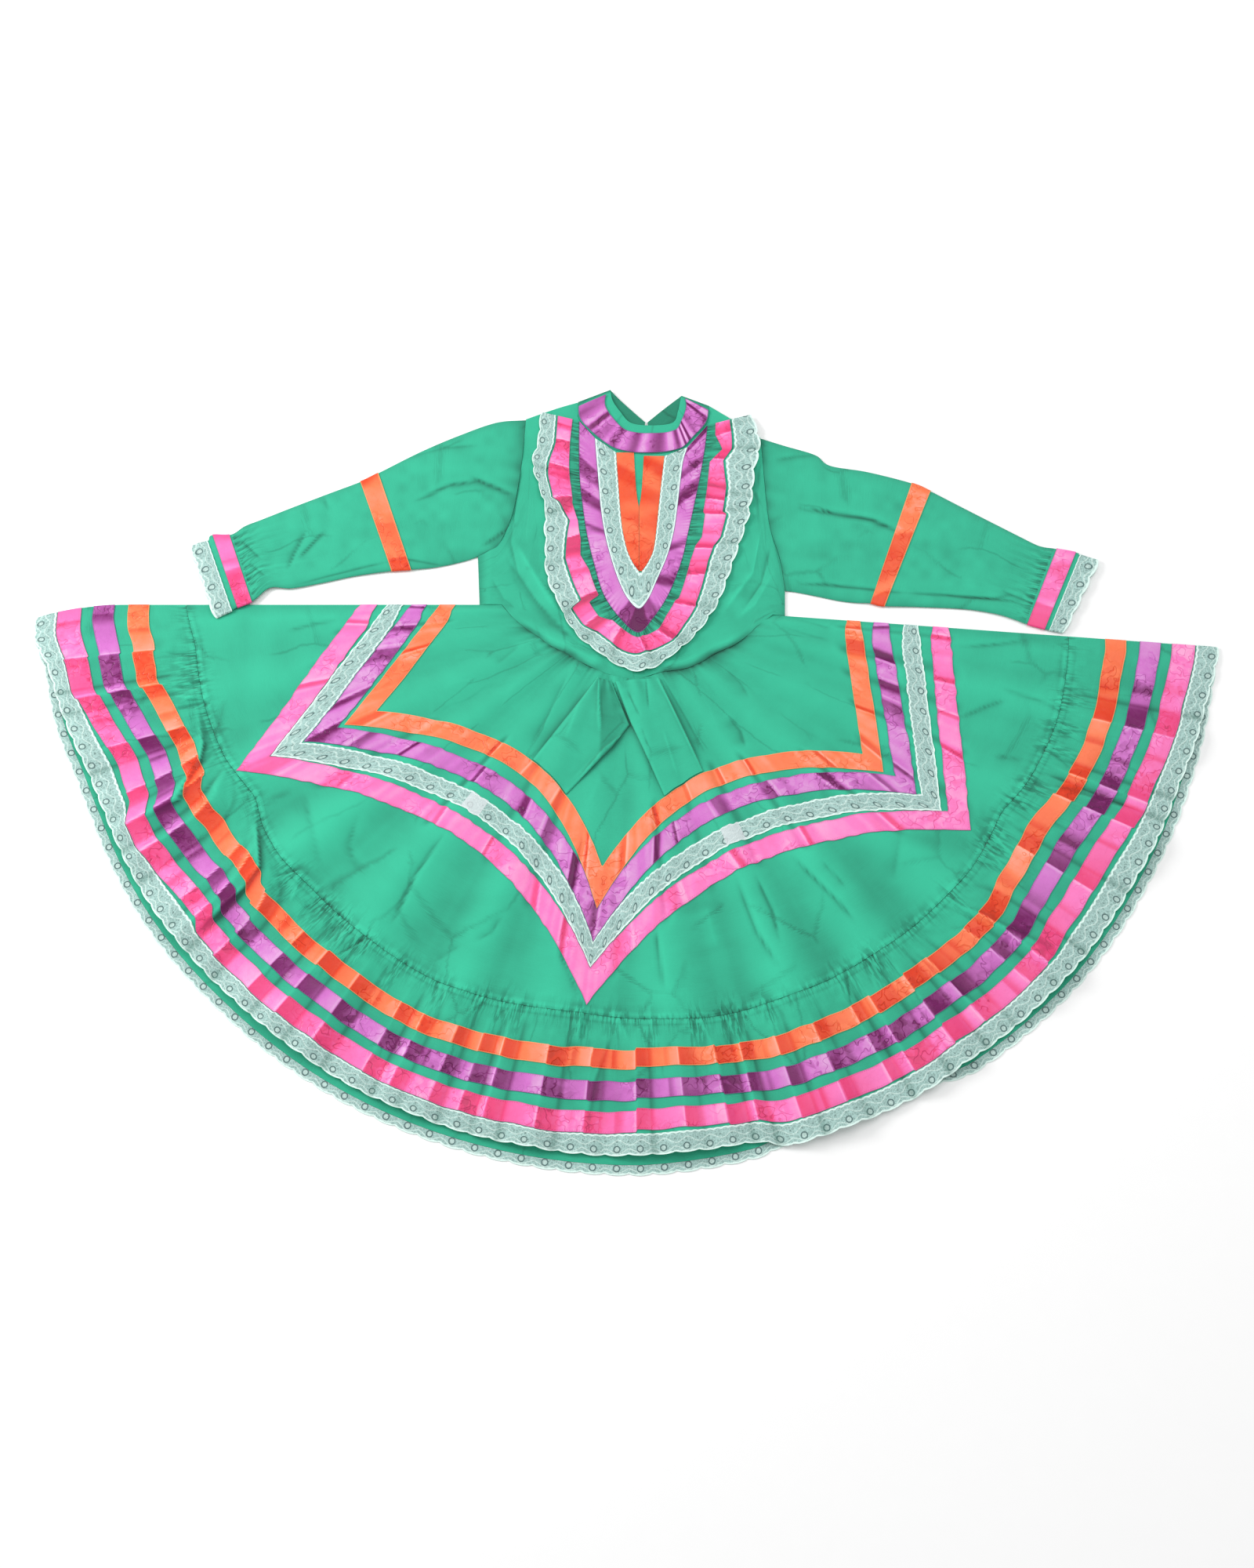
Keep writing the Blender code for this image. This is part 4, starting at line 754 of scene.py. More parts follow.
def shell(name, kind, low, high, chart, tone=0.7, gather=0.0, wrap=False):
    """A closed wall between two grids of points [row, column, xyz] in millimetres, as the piece for one node.

    The wall has the high grid outside, the low grid inside and a rim between their edges. kind is the finish.
    With wrap the columns close into a ring, and chart, the UV map, has one column more than the points. tone,
    the painted light and shade (on lace it also marks the doubled patches), and gather, how strongly small
    wrinkles show, are kept as attributes.
    """
    count = low.shape[0] * low.shape[1]
    points = np.arange(count).reshape(low.shape[:2])
    if wrap:
        points = np.hstack([points, points[:, :1]])
    places = np.arange(points.size).reshape(points.shape)
    outside, mapped = quads(points), quads(places)
    corner = high.reshape(-1, 3)[outside]
    facing = np.cross(corner[:, 2] - corner[:, 0], corner[:, 3] - corner[:, 1])
    outward = (facing * (high - low).reshape(-1, 3)[outside[:, 0]]).sum() > 0.0
    faces, maps = [outside + count, outside[:, ::-1]], [mapped, mapped[:, ::-1]]
    for rim, place in zip(rims(points, wrap), rims(places, wrap)):
        p, q, a, b = rim[:-1], rim[1:], place[:-1], place[1:]
        faces.append(np.stack([q + count, p + count, p, q], axis=1))
        maps.append(np.stack([b, a, a, b], axis=1))
    faces, maps = np.concatenate(faces), np.concatenate(maps)
    if not outward:
        faces, maps = faces[:, ::-1], maps[:, ::-1]
    mesh = bpy.data.meshes.new(name + SUFFIX[kind])
    mesh.vertices.add(2 * count)
    mesh.vertices.foreach_set("co", (np.concatenate([low, high]) * MM).astype(np.float32).ravel())
    mesh.loops.add(faces.size)
    mesh.loops.foreach_set("vertex_index", faces.astype(np.int32).ravel())
    mesh.polygons.add(len(faces))
    mesh.polygons.foreach_set("loop_start", np.arange(0, faces.size, 4, dtype=np.int32))
    mesh.update(calc_edges=True)
    mesh.polygons.foreach_set("use_smooth", np.ones(len(faces), dtype=bool))
    uv = chart.reshape(-1, 2)[maps.ravel()].astype(np.float32)
    mesh.uv_layers.new(name="chart").data.foreach_set("uv", uv.ravel())
    for attribute, value in (("tone", tone), ("gather", gather)):
        values = np.broadcast_to(value, low.shape[:2]).astype(np.float32).ravel()
        stored = mesh.attributes.new(attribute, "FLOAT", "POINT")
        stored.data.foreach_set("value", np.concatenate([values, values]))
    mesh.set_sharp_from_angle(angle=math.radians(SHARP_FROM))
    mesh.materials.append(finish(kind))
    piece = bpy.data.objects.new(mesh.name, mesh)
    bpy.context.scene.collection.objects.link(piece)
    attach(piece, "root")
    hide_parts(name)


def cloth(name, low, tone=0.7, gather=0.0):
    """A cloth piece, CLOTH thick, on the grid of its underside."""
    shell(name, "green", low, raised(low, CLOTH), chart_of(low), tone, gather)


def trim(name, kind, low, tone=0.7, chart=None):
    """A ribbon or lace, RIBBON thick, on the grid of its underside."""
    shell(name, kind, low, raised(low, RIBBON), trim_chart(low, kind) if chart is None else chart, tone)


class Value:
    """A socket that carries a number, with Python's operators as Math nodes."""

    def __init__(self, finish, socket):
        self.finish, self.socket = finish, socket


def value_operator(name, operation):
    """Gives Value one of Python's operators, and its reflected form, as a Math node."""
    setattr(Value, f"__{name}__", lambda one, two: one.finish.maths(operation, one, two))
    setattr(Value, f"__r{name}__", lambda one, two: one.finish.maths(operation, two, one))


for python_name, node_name in (("add", "ADD"), ("sub", "SUBTRACT"), ("mul", "MULTIPLY")):
    value_operator(python_name, node_name)


class Finish:
    """One node material on a Principled shader."""

    def __init__(self, name):
        self.material = bpy.data.materials.new(name)
        self.material.use_nodes = True
        self.tree = self.material.node_tree
        self.tree.nodes.clear()

    def node(self, kind, settings=None, sockets=None, output=0):
        """Adds a node with its settings, then gives its sockets values or links. Gives one output's Value."""
        made = self.tree.nodes.new(kind)
        for key, value in (settings or {}).items():
            if key == "stops":
                ramp = made.color_ramp
                while len(ramp.elements) < len(value):
                    ramp.elements.new(0.5)
                for element, (place, colour) in zip(ramp.elements, value):
                    element.position, element.color = place, (*colour, 1.0)
            else:
                setattr(made, key, value)
        for key, value in (sockets or {}).items():
            if isinstance(value, Value):
                self.tree.links.new(value.socket, made.inputs[key])
            else:
                made.inputs[key].default_value = value
        return Value(self, made.outputs[output]) if made.outputs else None

    def maths(self, operation, *values):
        return self.node("ShaderNodeMath", {"operation": operation}, dict(enumerate(values)))

    def attribute(self, name):
        return self.node("ShaderNodeAttribute", {"attribute_name": name}, output=2)

    def chart(self):
        """The two numbers of the piece's own UV map."""
        uv = self.node("ShaderNodeUVMap", {"uv_map": "chart"})
        return [self.node("ShaderNodeSeparateXYZ", None, {0: uv}, output) for output in (0, 1)]

    def vector(self, x, y, z=0.0):
        return self.node("ShaderNodeCombineXYZ", None, {0: x, 1: y, 2: z})

    def noise(self, vector, scale, detail=2.0, rough=0.5):
        return self.node("ShaderNodeTexNoise", None,
                         {"Vector": vector, "Scale": scale, "Detail": detail, "Roughness": rough})

    def ramp(self, value, stops):
        return self.node("ShaderNodeValToRGB", {"stops": stops}, {0: value})

    def mix(self, share, one, two):
        return self.node("ShaderNodeMix", {"data_type": "RGBA"}, {0: share, 6: one, 7: two}, output=2)

    def band(self, value, low, high, soft):
        """1 between low and high, with soft flanks."""
        smooth = {"interpolation_type": "SMOOTHSTEP"}
        rise, drop = (self.node("ShaderNodeMapRange", smooth, {0: value, 1: edge - soft, 2: edge + soft})
                      for edge in (low, high))
        return rise * (1.0 - drop)

    def bump(self, height, strength, distance, normal=None):
        sockets = {"Height": height, "Strength": strength, "Distance": distance}
        if normal is not None:
            sockets["Normal"] = normal
        return self.node("ShaderNodeBump", None, sockets)

    def close(self, sockets):
        shader = self.node("ShaderNodeBsdfPrincipled", None, sockets)
        self.node("ShaderNodeOutputMaterial", None, {"Surface": shader})
        return self.material


def linear(colour):
    """Linear values of a colour given in display values from 0 to 255."""
    share = np.array(colour, dtype=float) / 255.0
    return tuple(np.where(share <= 0.04045, share / 12.92, ((share + 0.055) / 1.055) ** 2.4))


def display(colour):
    """A colour property's values as a tuple of three."""
    return tuple(colour)[:3]


def shaded(colour, share):
    """A colour made darker or lighter."""
    return tuple(min(1.0, c * share) for c in display(colour))


def cloth_finish(name, looks):
    """Matt woven cotton blend: fine plain weave, slight slubs, soft uneven blotches, painted shade deeper in
    the creases.

    Short wrinkles across the gathered seams follow the gather attribute and are painted darker (painted
    shade) as well as bumped. The few long fine folds are borders of stretched, slightly bent Voronoi cells,
    inside patches, and are painted a little darker too.
    """
    f = Finish(name)
    u, v = f.chart()
    tone = f.attribute("tone")
    blotch = f.noise(f.vector(u * 0.012, v * 0.012), 1.0, 4.0, 0.6)
    slub = f.noise(f.vector(u * 0.05, v * 1.4), 1.0, 3.0, 0.6)
    weave = f.maths("SINE", u * 7.0) * f.maths("SINE", v * 7.0)
    gather = f.attribute("gather")
    strand = f.noise(f.vector(u * 0.30, v * 0.05), 1.0, 2.0, 0.5)
    wrinkle = f.band(strand, 0.51, 9.0, 0.05) * gather
    bent = f.vector(u * 0.012 + 0.3 * blotch, v * 0.006 + 0.2 * slub)
    border = f.node("ShaderNodeTexVoronoi", {"feature": "DISTANCE_TO_EDGE"}, {"Vector": bent, "Scale": 1.0})
    cells = f.node("ShaderNodeTexVoronoi", None, {"Vector": bent, "Scale": 1.0}, output=1)
    facet = f.node("ShaderNodeSeparateColor", None, {0: cells})
    patch = f.band(f.noise(f.vector(u * 0.017, v * 0.012, 5.0), 1.0, 1.0), 0.50, 9.0, 0.05)
    line = (1.0 - f.band(border, 0.014, 9.0, 0.012)) * patch
    # Painted shade and highlight: through the ramp's shaded and lit copies of the green, the tone attribute
    # darkens creases and lightens ridges. The wrinkle strokes and fine fold lines are painted darker.
    shade = tone + 0.30 * (blotch - 0.5) + 0.14 * (slub - 0.5) + 0.03 * weave - 0.46 * wrinkle - 0.13 * line
    colour = f.ramp(shade, [(0.0, shaded(looks.green, 0.22)), (0.45, shaded(looks.green, 0.66)),
                            (0.7, display(looks.green)), (1.0, shaded(looks.green, 1.26))])
    rough = 0.74 + 0.12 * (slub - 0.5)
    fine = f.bump(weave, 0.25, 0.0002)
    soft = f.bump(slub + 0.6 * blotch, 0.35, 0.0008, fine)
    normal = f.bump(0.7 * facet * patch - wrinkle, 0.5, 0.0016, soft)
    return f.close({"Base Color": colour, "Roughness": rough, "Normal": normal, "Specular IOR Level": 0.25,
                    "Sheen Weight": 0.15, "Sheen Roughness": 0.5})


def satin_finish(name, light, dark, edge, crumple_shading):
    """Satin ribbon: painted sheen in facets by the tone attribute, crinkles in painted light and shade, woven
    edges.
    """
    f = Finish(name)
    u, v = f.chart()
    tone = f.attribute("tone")
    place = f.node("ShaderNodeTexCoord", output=3)
    streak = f.noise(place, 42.0, 2.0, 0.5)
    crinkle = f.noise(place, 120.0, 2.0, 0.55)
    cells = f.node("ShaderNodeTexVoronoi", None, {"Vector": place, "Scale": 95.0}, output=1)
    facet = f.node("ShaderNodeSeparateColor", None, {0: cells})
    squiggle = f.band(f.noise(place, 75.0, 1.0), 0.488, 0.512, 0.018)
    patch = f.band(f.noise(place, 15.0, 1.0), 0.51, 9.0, 0.06)
    # Crumples and crinkles are painted in light and shade, more strongly in patches. The streaks grow
    # stronger where the tone, the painted sheen, is brighter.
    rumple = crumple_shading * (0.12 + patch)
    crinkle_light_and_shade = rumple * (0.24 * (facet - 0.5) + 0.5 * (crinkle - 0.5) - 0.34 * squiggle)
    shade = tone + (0.08 + 0.16 * tone) * (streak - 0.5) + crinkle_light_and_shade
    # light and dark are lit and shaded copies of the ribbon's colour. glint is a painted highlight, and
    # deepest is the darkest painted shade.
    light, dark = display(light), display(dark)
    middle = tuple(0.40 * a + 0.60 * b for a, b in zip(light, dark))
    glint = tuple(0.22 + 0.80 * a for a in light)
    deepest = tuple(0.7 * a for a in dark)
    body = f.ramp(shade, [(0.0, deepest), (0.2, dark), (0.45, middle), (0.74, light), (1.0, glint)])
    rim = 1.0 - f.band(v, 0.03, 0.97, 0.018)
    colour = f.mix(rim * 0.7, body, (*display(edge), 1.0))
    stitch = f.band(f.maths("FRACT", u * 9.0), 0.2, 0.75, 0.1)
    row = f.band(v, 0.06, 0.085, 0.012) + f.band(v, 0.915, 0.94, 0.012)
    height = streak + crinkle + 0.5 * facet - squiggle * patch - 0.8 * stitch * row
    normal = f.bump(height, 0.5, 0.0009)
    rough = 0.36 + 0.16 * (crinkle - 0.5) + 0.25 * rim
    return f.close({"Base Color": colour, "Roughness": rough, "Normal": normal, "Specular IOR Level": 0.32})


def lace_finish(name, looks):
    """Net lace: a worked ring with an eyelet a scallop, dots, bright cords at both edges, see-through net.

    The UV map counts scallops along the lace and runs from 0 at its straight edge to 1 at its scallops.
    """
    f = Finish(name)
    u, v = f.chart()
    tone = f.attribute("tone")
    place = (f.maths("FRACT", u) - 0.5) * LACE_PITCH
    down = (v - 0.70) * 26.0
    ring_far = f.maths("SQRT", place * place + down * down)
    ring = f.band(ring_far, 3.0, 4.3, 0.35)
    eye = 1.0 - f.band(ring_far, 2.6, 99.0, 0.4)
    dot_place = (f.maths("FRACT", u * 2.0 + 0.5) - 0.5) * (LACE_PITCH / 2.0)
    dot_down = (v - 0.36) * 26.0
    dots = 1.0 - f.band(f.maths("SQRT", dot_place * dot_place + dot_down * dot_down), 1.0, 99.0, 0.4)
    scallop = f.maths("SINE", u * (6.0 * math.pi))
    inner_cord = f.band(v - 0.025 * scallop, 0.015, 0.10, 0.02)
    outer_cord = f.band(v + 0.015 * scallop, 0.92, 1.2, 0.02)
    vine_wave = f.maths("SINE", u * (2.0 * math.pi) + 1.2)
    lower_vine, upper_vine = (f.band(line, -0.03, 0.03, 0.02) for line in (
        v - 0.42 - 0.13 * vine_wave, v - 0.82 + 0.08 * vine_wave))
    vine = lower_vine + upper_vine
    woven = f.vector(u * 8.0, v * 7.0)
    mesh = f.node("ShaderNodeTexVoronoi", {"feature": "DISTANCE_TO_EDGE"}, {"Vector": woven, "Scale": 1.0})
    thread = 1.0 - f.band(mesh, 0.10, 9.0, 0.07)
    worked = f.noise(f.vector(u * 9.0, v * 8.0), 1.0, 3.0, 0.6)
    ground = f.ramp(0.26 * thread + 0.8 * (worked - 0.5) + 0.40, [
        (0.0, shaded(looks.lace, 0.58)), (0.5, display(looks.lace)), (1.0, shaded(looks.lace, 1.18))])
    cords = f.maths("MAXIMUM", f.maths("MAXIMUM", inner_cord, outer_cord), vine * 0.7)
    bright = f.maths("MAXIMUM", cords, eye * 0.6)
    shade = f.mix(bright, ground, (*linear((226, 250, 243)), 1.0))
    shade = f.mix(ring * 0.9, shade, (*linear((78, 104, 104)), 1.0))
    shade = f.mix(dots * 0.7, shade, (*linear((96, 124, 120)), 1.0))
    join = f.band(tone, 0.9, 2.0, 0.03)
    colour = f.mix(join * 0.75, shade, (*linear((222, 230, 232)), 1.0))
    # Painted shadow at the feet of folds: where the tone is low, a dark green is mixed in.
    dark = f.node("ShaderNodeMapRange", None, {0: tone, 1: 0.15, 2: 0.5, 3: 0.45, 4: 0.0})
    colour = f.mix(dark, colour, (*linear((70, 120, 106)), 1.0))
    cover = f.maths("MAXIMUM", cords, f.maths("MAXIMUM", ring, dots))
    net = 0.68 + 0.18 * thread + 0.3 * (worked - 0.5)
    alpha = f.maths("MAXIMUM", f.maths("MAXIMUM", net, cover * 0.96), join * 0.9)
    alpha = f.maths("MINIMUM", alpha * (1.0 - 0.15 * eye), 1.0)
    height = 0.7 * cover + 0.4 * thread + 0.5 * worked - 0.5 * eye
    normal = f.bump(height, 0.6, 0.0006)
    return f.close({"Base Color": colour, "Roughness": 0.8, "Alpha": alpha, "Normal": normal,
                    "Specular IOR Level": 0.2})


def finish(kind):
    """The material of one kind, made the first time it is asked for."""
    name = kind + SUFFIX[kind]
    if name in bpy.data.materials:
        return bpy.data.materials[name]
    looks = bpy.context.scene.dress_looks
    if kind == "green":
        return cloth_finish(name, looks)
    if kind == "lace":
        return lace_finish(name, looks)
    edge, crumple_shading = SATIN_EDGES[kind]
    return satin_finish(name, getattr(looks, kind), getattr(looks, kind + "_deep"), linear(edge), crumple_shading)


def fold_tones(lines, height, seed, at):
    """Painted satin sheen over folds whose crests and feet are given as lines with heights.

    A rising span faces the light and brightens towards its crest, where a painted glint runs, and some are
    crossed by a soft darker wave. A falling span turns from the light: a facet of painted shade, the steeper
    the darker, that starts sharply at the crest and fades out at its foot.
    """
    chance = np.random.default_rng(seed)
    usual = np.median(np.diff(lines))
    fine = np.arange(lines[0], lines[-1], usual / 40.0)
    tone = np.full(fine.shape, 0.66)
    for begin, end, low, high in zip(lines[:-1], lines[1:], height[:-1], height[1:]):
        t = (fine - begin) / (end - begin)
        inside = (t >= 0.0) & (t < 1.0)
        if high < low:
            steep = min((low - high) / (end - begin) / 2.2 * usual / 1.9, 1.0)
            tone[inside] = chance.uniform(0.26, 0.42) - 0.16 * steep + 0.10 * t[inside]
            continue
        span = chance.uniform(0.56, 0.80) + 0.26 * (t - 0.5)
        if chance.random() < 0.45 or end - begin > 2.2 * usual:
            middle, half = chance.uniform(0.25, 0.7), chance.uniform(0.08, 0.2)
            deep = chance.uniform(0.15, 0.42)
            span = span - deep * window(t, middle - half, middle + half, 0.07, 1.6 * half)
        tone[inside] = span[inside]
    reach = 9
    even = np.ones(2 * reach + 1) / (2 * reach + 1)
    soft = np.convolve(np.pad(tone, reach, mode="edge"), even, mode="valid")
    near_foot, glint = np.zeros(fine.shape), np.zeros(fine.shape)
    for line, rise in zip(lines[1:-1], height[1:-1]):
        off = (fine - line) / usual
        if rise > 0.0:
            glint += 0.30 * min(1.0, rise / 3.0) * hump(off + 0.05, 0.06) * (off < 0.04)
        else:
            near_foot = np.maximum(near_foot, hump(off, 0.35))
    tone = tone + (soft - tone) * near_foot + glint
    return np.interp(at, fine, np.clip(tone, 0.0, 1.0))


def fold_shadows(lines, height, at, reach):
    """1 along the feet of the folds, where cloth lies under cloth, and 0 elsewhere."""
    shadow = np.zeros(at.shape)
    for foot, before in zip(lines[2:-1:2], height[1:-2:2]):
        off = at - foot
        line = hump(off, np.where(off > 0.0, reach, 0.4 * reach))
        shadow = np.maximum(shadow, line * min(1.0, before / 4.0))
    return shadow


def fan_columns(count, extra=()):
    """Angles across the fan, evenly spaced, with the given ones among them."""
    angles = np.linspace(FAN_START, FAN_END, count)
    for angle in extra:
        angles[np.abs(angles - angle).argmin()] = angle
    return angles


def make_skirt_front():
    """Skirt front: a fan grid between the waist and the ruffle's seam, at the height of skirt_lift."""
    angles = fan_columns(450)
    share = shares(100)
    inner, outer = waist_at(angles), seam_at(angles) - SEAM_GAP / 2
    xy = polar(angles, inner + share * (outer - inner))
    x, y = xy[..., 0], xy[..., 1]
    lift = skirt_lift(x, y)
    tone = shading(lift, 10, 0.09, 0.26) - waist_shadow(xy) + creases(tie_shadows(), x, y, 0.0)
    gather = seam_gather(angles, (outer - inner) * (1.0 - share), 3.0)
    cloth("skirt_front", with_height(xy, FRONT_Z + lift), tone, gather)


def make_backs():
    """The back panels of skirt and ruffle and the back's hem lace: fan grids on the floor, with creases."""
    angles = fan_columns(200)
    mirrored = [(width, -height, -x0, y0, -x1, y1) for width, height, x0, y0, x1, y1, *_ in SKIRT_CREASES]
    for name, rows, inner, outer in (
        ("skirt_back", 14, waist_at(angles), seam_at(angles) - SEAM_GAP / 2),
        ("ruffle_back", 8, seam_at(angles) + SEAM_GAP / 2, hem_at(angles) - BACK_LACE_SHOWING - SEAM_GAP),
    ):
        share = shares(rows)
        xy = polar(angles, inner + share * (outer - inner))
        swell = 0.12 + 0.12 * mottle(41, xy[..., 0], xy[..., 1], 45.0)
        folds = 0.1 * np.clip(creases(mirrored, xy[..., 0], xy[..., 1]), -1.0, 1.5)
        lift = np.clip(swell + folds, 0.0, 0.4) * window(share, 0.0, 1.0, 0.05, 0.05)
        # Painted light and shade: the tone rises with the lift, lighter where the panel swells up, darker
        # where it lies flat.
        cloth(name, with_height(sag(xy), lift), 0.7 + 0.4 * (lift - 0.15))
    angles = fan_columns(561)
    turn = SCALLOPS * fan_share(angles)
    inner, outer = hem_at(angles) - BACK_LACE_SHOWING, hem_at(angles) - SCALLOP * notch(turn)
    share = shares(5)
    low = with_height(sag(polar(angles, inner + share * (outer - inner))), 0.05)
    chart = trim_chart(low, "lace")
    chart[..., 0], chart[..., 1] = turn, 0.55 + 0.45 * share
    trim("hem_lace_back", "lace", low, chart=chart)


def ruffle_points(angles, share, rise):
    """Points at shares of the front ruffle's depth, at a rise above its resting level."""
    return with_height(sag(polar(angles, ruffle_radius(angles, share))), FRONT_Z + rise)


def make_ruffle_front():
    """Front ruffle with its three ribbons and its lace, all on ruffle_lift so that they lie on each other."""
    angles = fan_columns(1120)
    share = np.concatenate([np.linspace(0.0, 0.20, 14)[:-1], np.linspace(0.20, RUFFLE_CLOTH_TO, 22)])[:, None]
    lift = ruffle_lift(angles, share)
    low = ruffle_points(angles, share, lift)
    seen = fold_angle(angles, share)
    # Painted shade: hollows darker and ridges lighter, shadows at the feet of the folds, the cloth among the
    # ribbons a little darker in their shade, and the flaps' shadow lines.
    shadow = fold_shadows(*FOLD_LINES, seen, 0.4) * smoothstep(share * 4.0)
    tone = shading(lift, 8, 0.06, 0.22) - 0.24 * shadow
    tone = tone - 0.08 * smoothstep((share - 0.2) / 0.06) + creases(FLAP_SHADOW_LINES, low[..., 0], low[..., 1], 0.0)
    depth = ruffle_radius(angles, share) - seam_at(angles)
    cloth("ruffle_front", low, tone, seam_gather(angles, depth, 19.0))
    for colour, inner, outer, seed in RUFFLE_BANDS:
        across = shares(6)
        jog = drift_at(angles) + band_jog(angles, inner) + 0.006 * ripple(seed, angles * 12.0, 22.0)
        place = inner + jog + across * (outer - inner)
        own = 0.35 * (1.0 + ripple(seed + 5, angles * 12.0, 9.0)) * np.sin(np.pi * across) * side_fade(angles)
        low = ruffle_points(angles, place, TRIM_LIFT + ruffle_lift(angles, place) + own)
        seen = fold_angle(angles, place)
        # Painted satin sheen by the folds, with shadows at their feet and the flaps' shadow lines across the
        # ribbon.
        tone = fold_tones(*FOLD_LINES, seed, seen) - 0.2 * fold_shadows(*FOLD_LINES, seen, 0.35)
        trim("ruffle_ribbon_" + colour, colour, low,
             tone + 1.1 * creases(FLAP_SHADOW_LINES, low[..., 0], low[..., 1], 0.0))
    turn = SCALLOPS * fan_share(angles)
    across = shares(9)
    start = np.maximum(HEM_LACE_FROM + 0.5 * drift_at(angles), RUFFLE_BANDS[-1][2] + jog + 0.004)
    place = start * (1.0 - across) + HEM_LACE_FROM * across
    place = place + across * (1.0 - SCALLOP / RUFFLE_DEPTH * notch(turn) - place)
    past_cloth = 0.8 * smoothstep((place - RUFFLE_CLOTH_TO) / 0.06)
    low = ruffle_points(angles, place, TRIM_LIFT + ruffle_lift(angles, place) - past_cloth)
    chart = trim_chart(low, "lace")
    chart[..., 0] = turn
    tone = 0.5 - 0.35 * fold_shadows(*FOLD_LINES, fold_angle(angles, place), 0.5)
    trim("hem_lace_front", "lace", low, tone, chart)


def straight(angle, start, end):
    """Radius of a straight line between two polar points (angle, radius)."""
    (a, ra), (b, rb) = start, end
    one, two = np.radians(angle - a), np.radians(b - angle)
    return ra * rb * np.sin(np.radians(b - a)) / (ra * np.sin(one) + rb * np.sin(two))


def rounded(angle, valley, point):
    """Radius of a hyperbola that rounds the valley and runs straight out to the point."""
    (v, rv), (p, rp) = valley, point
    off = math.radians(p - v)
    pull = (math.cos(off) ** 2 - (rv / rp) ** 2) / math.sin(off) ** 2
    turn = np.radians(angle - v)
    return rv / np.sqrt(np.cos(turn) ** 2 - pull * np.sin(turn) ** 2)


def star_edge(angles, radii):
    """Outer radius of one zigzag line at each angle: straight arms at the sides, rounded valleys between."""
    left, tip_1, valley_1, tip_2, valley_2, tip_3, right = radii
    tips = list(zip(TIP_ANGLES, (tip_1, tip_2, tip_3)))
    valleys = list(zip(VALLEY_ANGLES, (valley_1, valley_2)))
    parts = [
        (straight, (FAN_START, left), tips[0]), (rounded, valleys[0], tips[0]),
        (rounded, valleys[0], tips[1]), (rounded, valleys[1], tips[1]),
        (rounded, valleys[1], tips[2]), (straight, tips[2], (FAN_END, right)),
    ]
    radius = np.zeros_like(angles)
    for line, one, two in parts:
        inside = (angles >= min(one[0], two[0])) & (angles <= max(one[0], two[0]))
        radius[inside] = line(angles[inside], one, two)
    return radius


def star_inner(angles, outer, width):
    """Inner edge of a zigzag trim: each arm moved inward square to itself and carried on past its points.

    Where two arms cross, the one with the smaller radius counts, which mitres the points.
    """
    inner = np.full(angles.shape, np.inf)
    ends = (FAN_START, *TIP_ANGLES, FAN_END)
    for first, last in zip(ends[:-1], ends[1:]):
        inside = (angles >= first) & (angles <= last)
        line = polar(angles[inside], outer[inside])
        along = np.gradient(line, axis=0)
        along /= np.linalg.norm(along, axis=1)[:, None]
        from_tip = np.minimum(angles[inside] - first, last - angles[inside])
        narrow = 1.0 - 0.24 * np.exp(-from_tip / 2.0)[:, None]
        moved = line + width * narrow * np.stack([-along[:, 1], along[:, 0]], axis=1)
        moved = np.concatenate([moved[:1] - 70.0 * along[:1], moved, moved[-1:] + 70.0 * along[-1:]])
        turn = np.degrees(np.unwrap(np.arctan2(moved[:, 1], moved[:, 0])))
        turn += 360.0 * np.round((angles[inside].mean() - turn.mean()) / 360.0)
        radius = np.interp(angles, turn, np.hypot(*moved.T), left=np.inf, right=np.inf)
        inner = np.minimum(inner, radius)
    return inner


def make_zigzag():
    """The zigzag of three ribbons and a lace, laid on skirt_lift. Gives the orange ribbon's inner edge."""
    angles = fan_columns(STAR_COLUMNS, TIP_ANGLES)
    previous, orange = None, None
    for colour, width, radii, seed in STAR:
        outer = star_edge(angles, radii)
        inner = star_inner(angles, outer, width)
        steps = np.hypot(np.diff(outer), np.diff(np.radians(angles)) * outer[:-1])
        running = np.concatenate([[0.0], np.cumsum(steps)])
        wavy, pitch = {"orange": (0.5, 14.0), "lace": (1.0, 5.0)}.get(colour, (1.1, 9.0))
        outer = outer + wavy * ripple(seed, running, pitch)
        inner = inner + wavy * ripple(seed + 1, running, pitch)
        if previous is None:
            orange = inner
        else:
            inner = np.maximum(inner, previous + 0.8)
        previous = outer
        across = shares(6)
        xy = polar(angles, inner + across * (outer - inner))
        own = 0.3 * (1.0 + ripple(seed + 2, running, 8.0)) * np.sin(np.pi * across) * side_fade(angles)
        low = with_height(xy, FRONT_Z + TRIM_LIFT + skirt_lift(xy[..., 0], xy[..., 1]) + own)
        if colour == "lace":
            tone = np.full(len(angles), 0.5)
            for first, last in LACE_JOINS:
                tone[(angles > first) & (angles < last)] = 1.0
            trim("star_lace", "lace", low, tone)
        else:
            trim("star_ribbon_" + colour, colour, low, star_tones(colour, angles, running, across, seed))
    return orange


def star_tones(colour, angle, running, across, seed):
    """Painted satin sheen along the zigzag: bright, with painted shade blocks that start sharply at a painted
    glint and fade out.
    """
    chance = np.random.default_rng(seed)
    tone = np.full(np.broadcast(angle, across).shape, 0.76)
    tone = tone + 0.08 * ripple(seed, running + 14.0 * across, 24.0) + 0.08 * ripple(seed + 7, running, 8.0)
    for centre, half, deep in STAR_SHADE_BLOCKS[colour]:
        slant, turned = chance.uniform(-1.0, 1.0) * min(half, 1.0), chance.choice([-1.0, 1.0])
        off = turned * (angle - centre - slant * (across - 0.5)) / half
        dark = smoothstep((off + 1.0) / 0.2) * (1.0 - smoothstep((off + 0.1) / 1.1))
        tone = tone - 1.1 * deep * dark + 0.22 * hump((off + 1.25) * half, 0.25)
    return tone


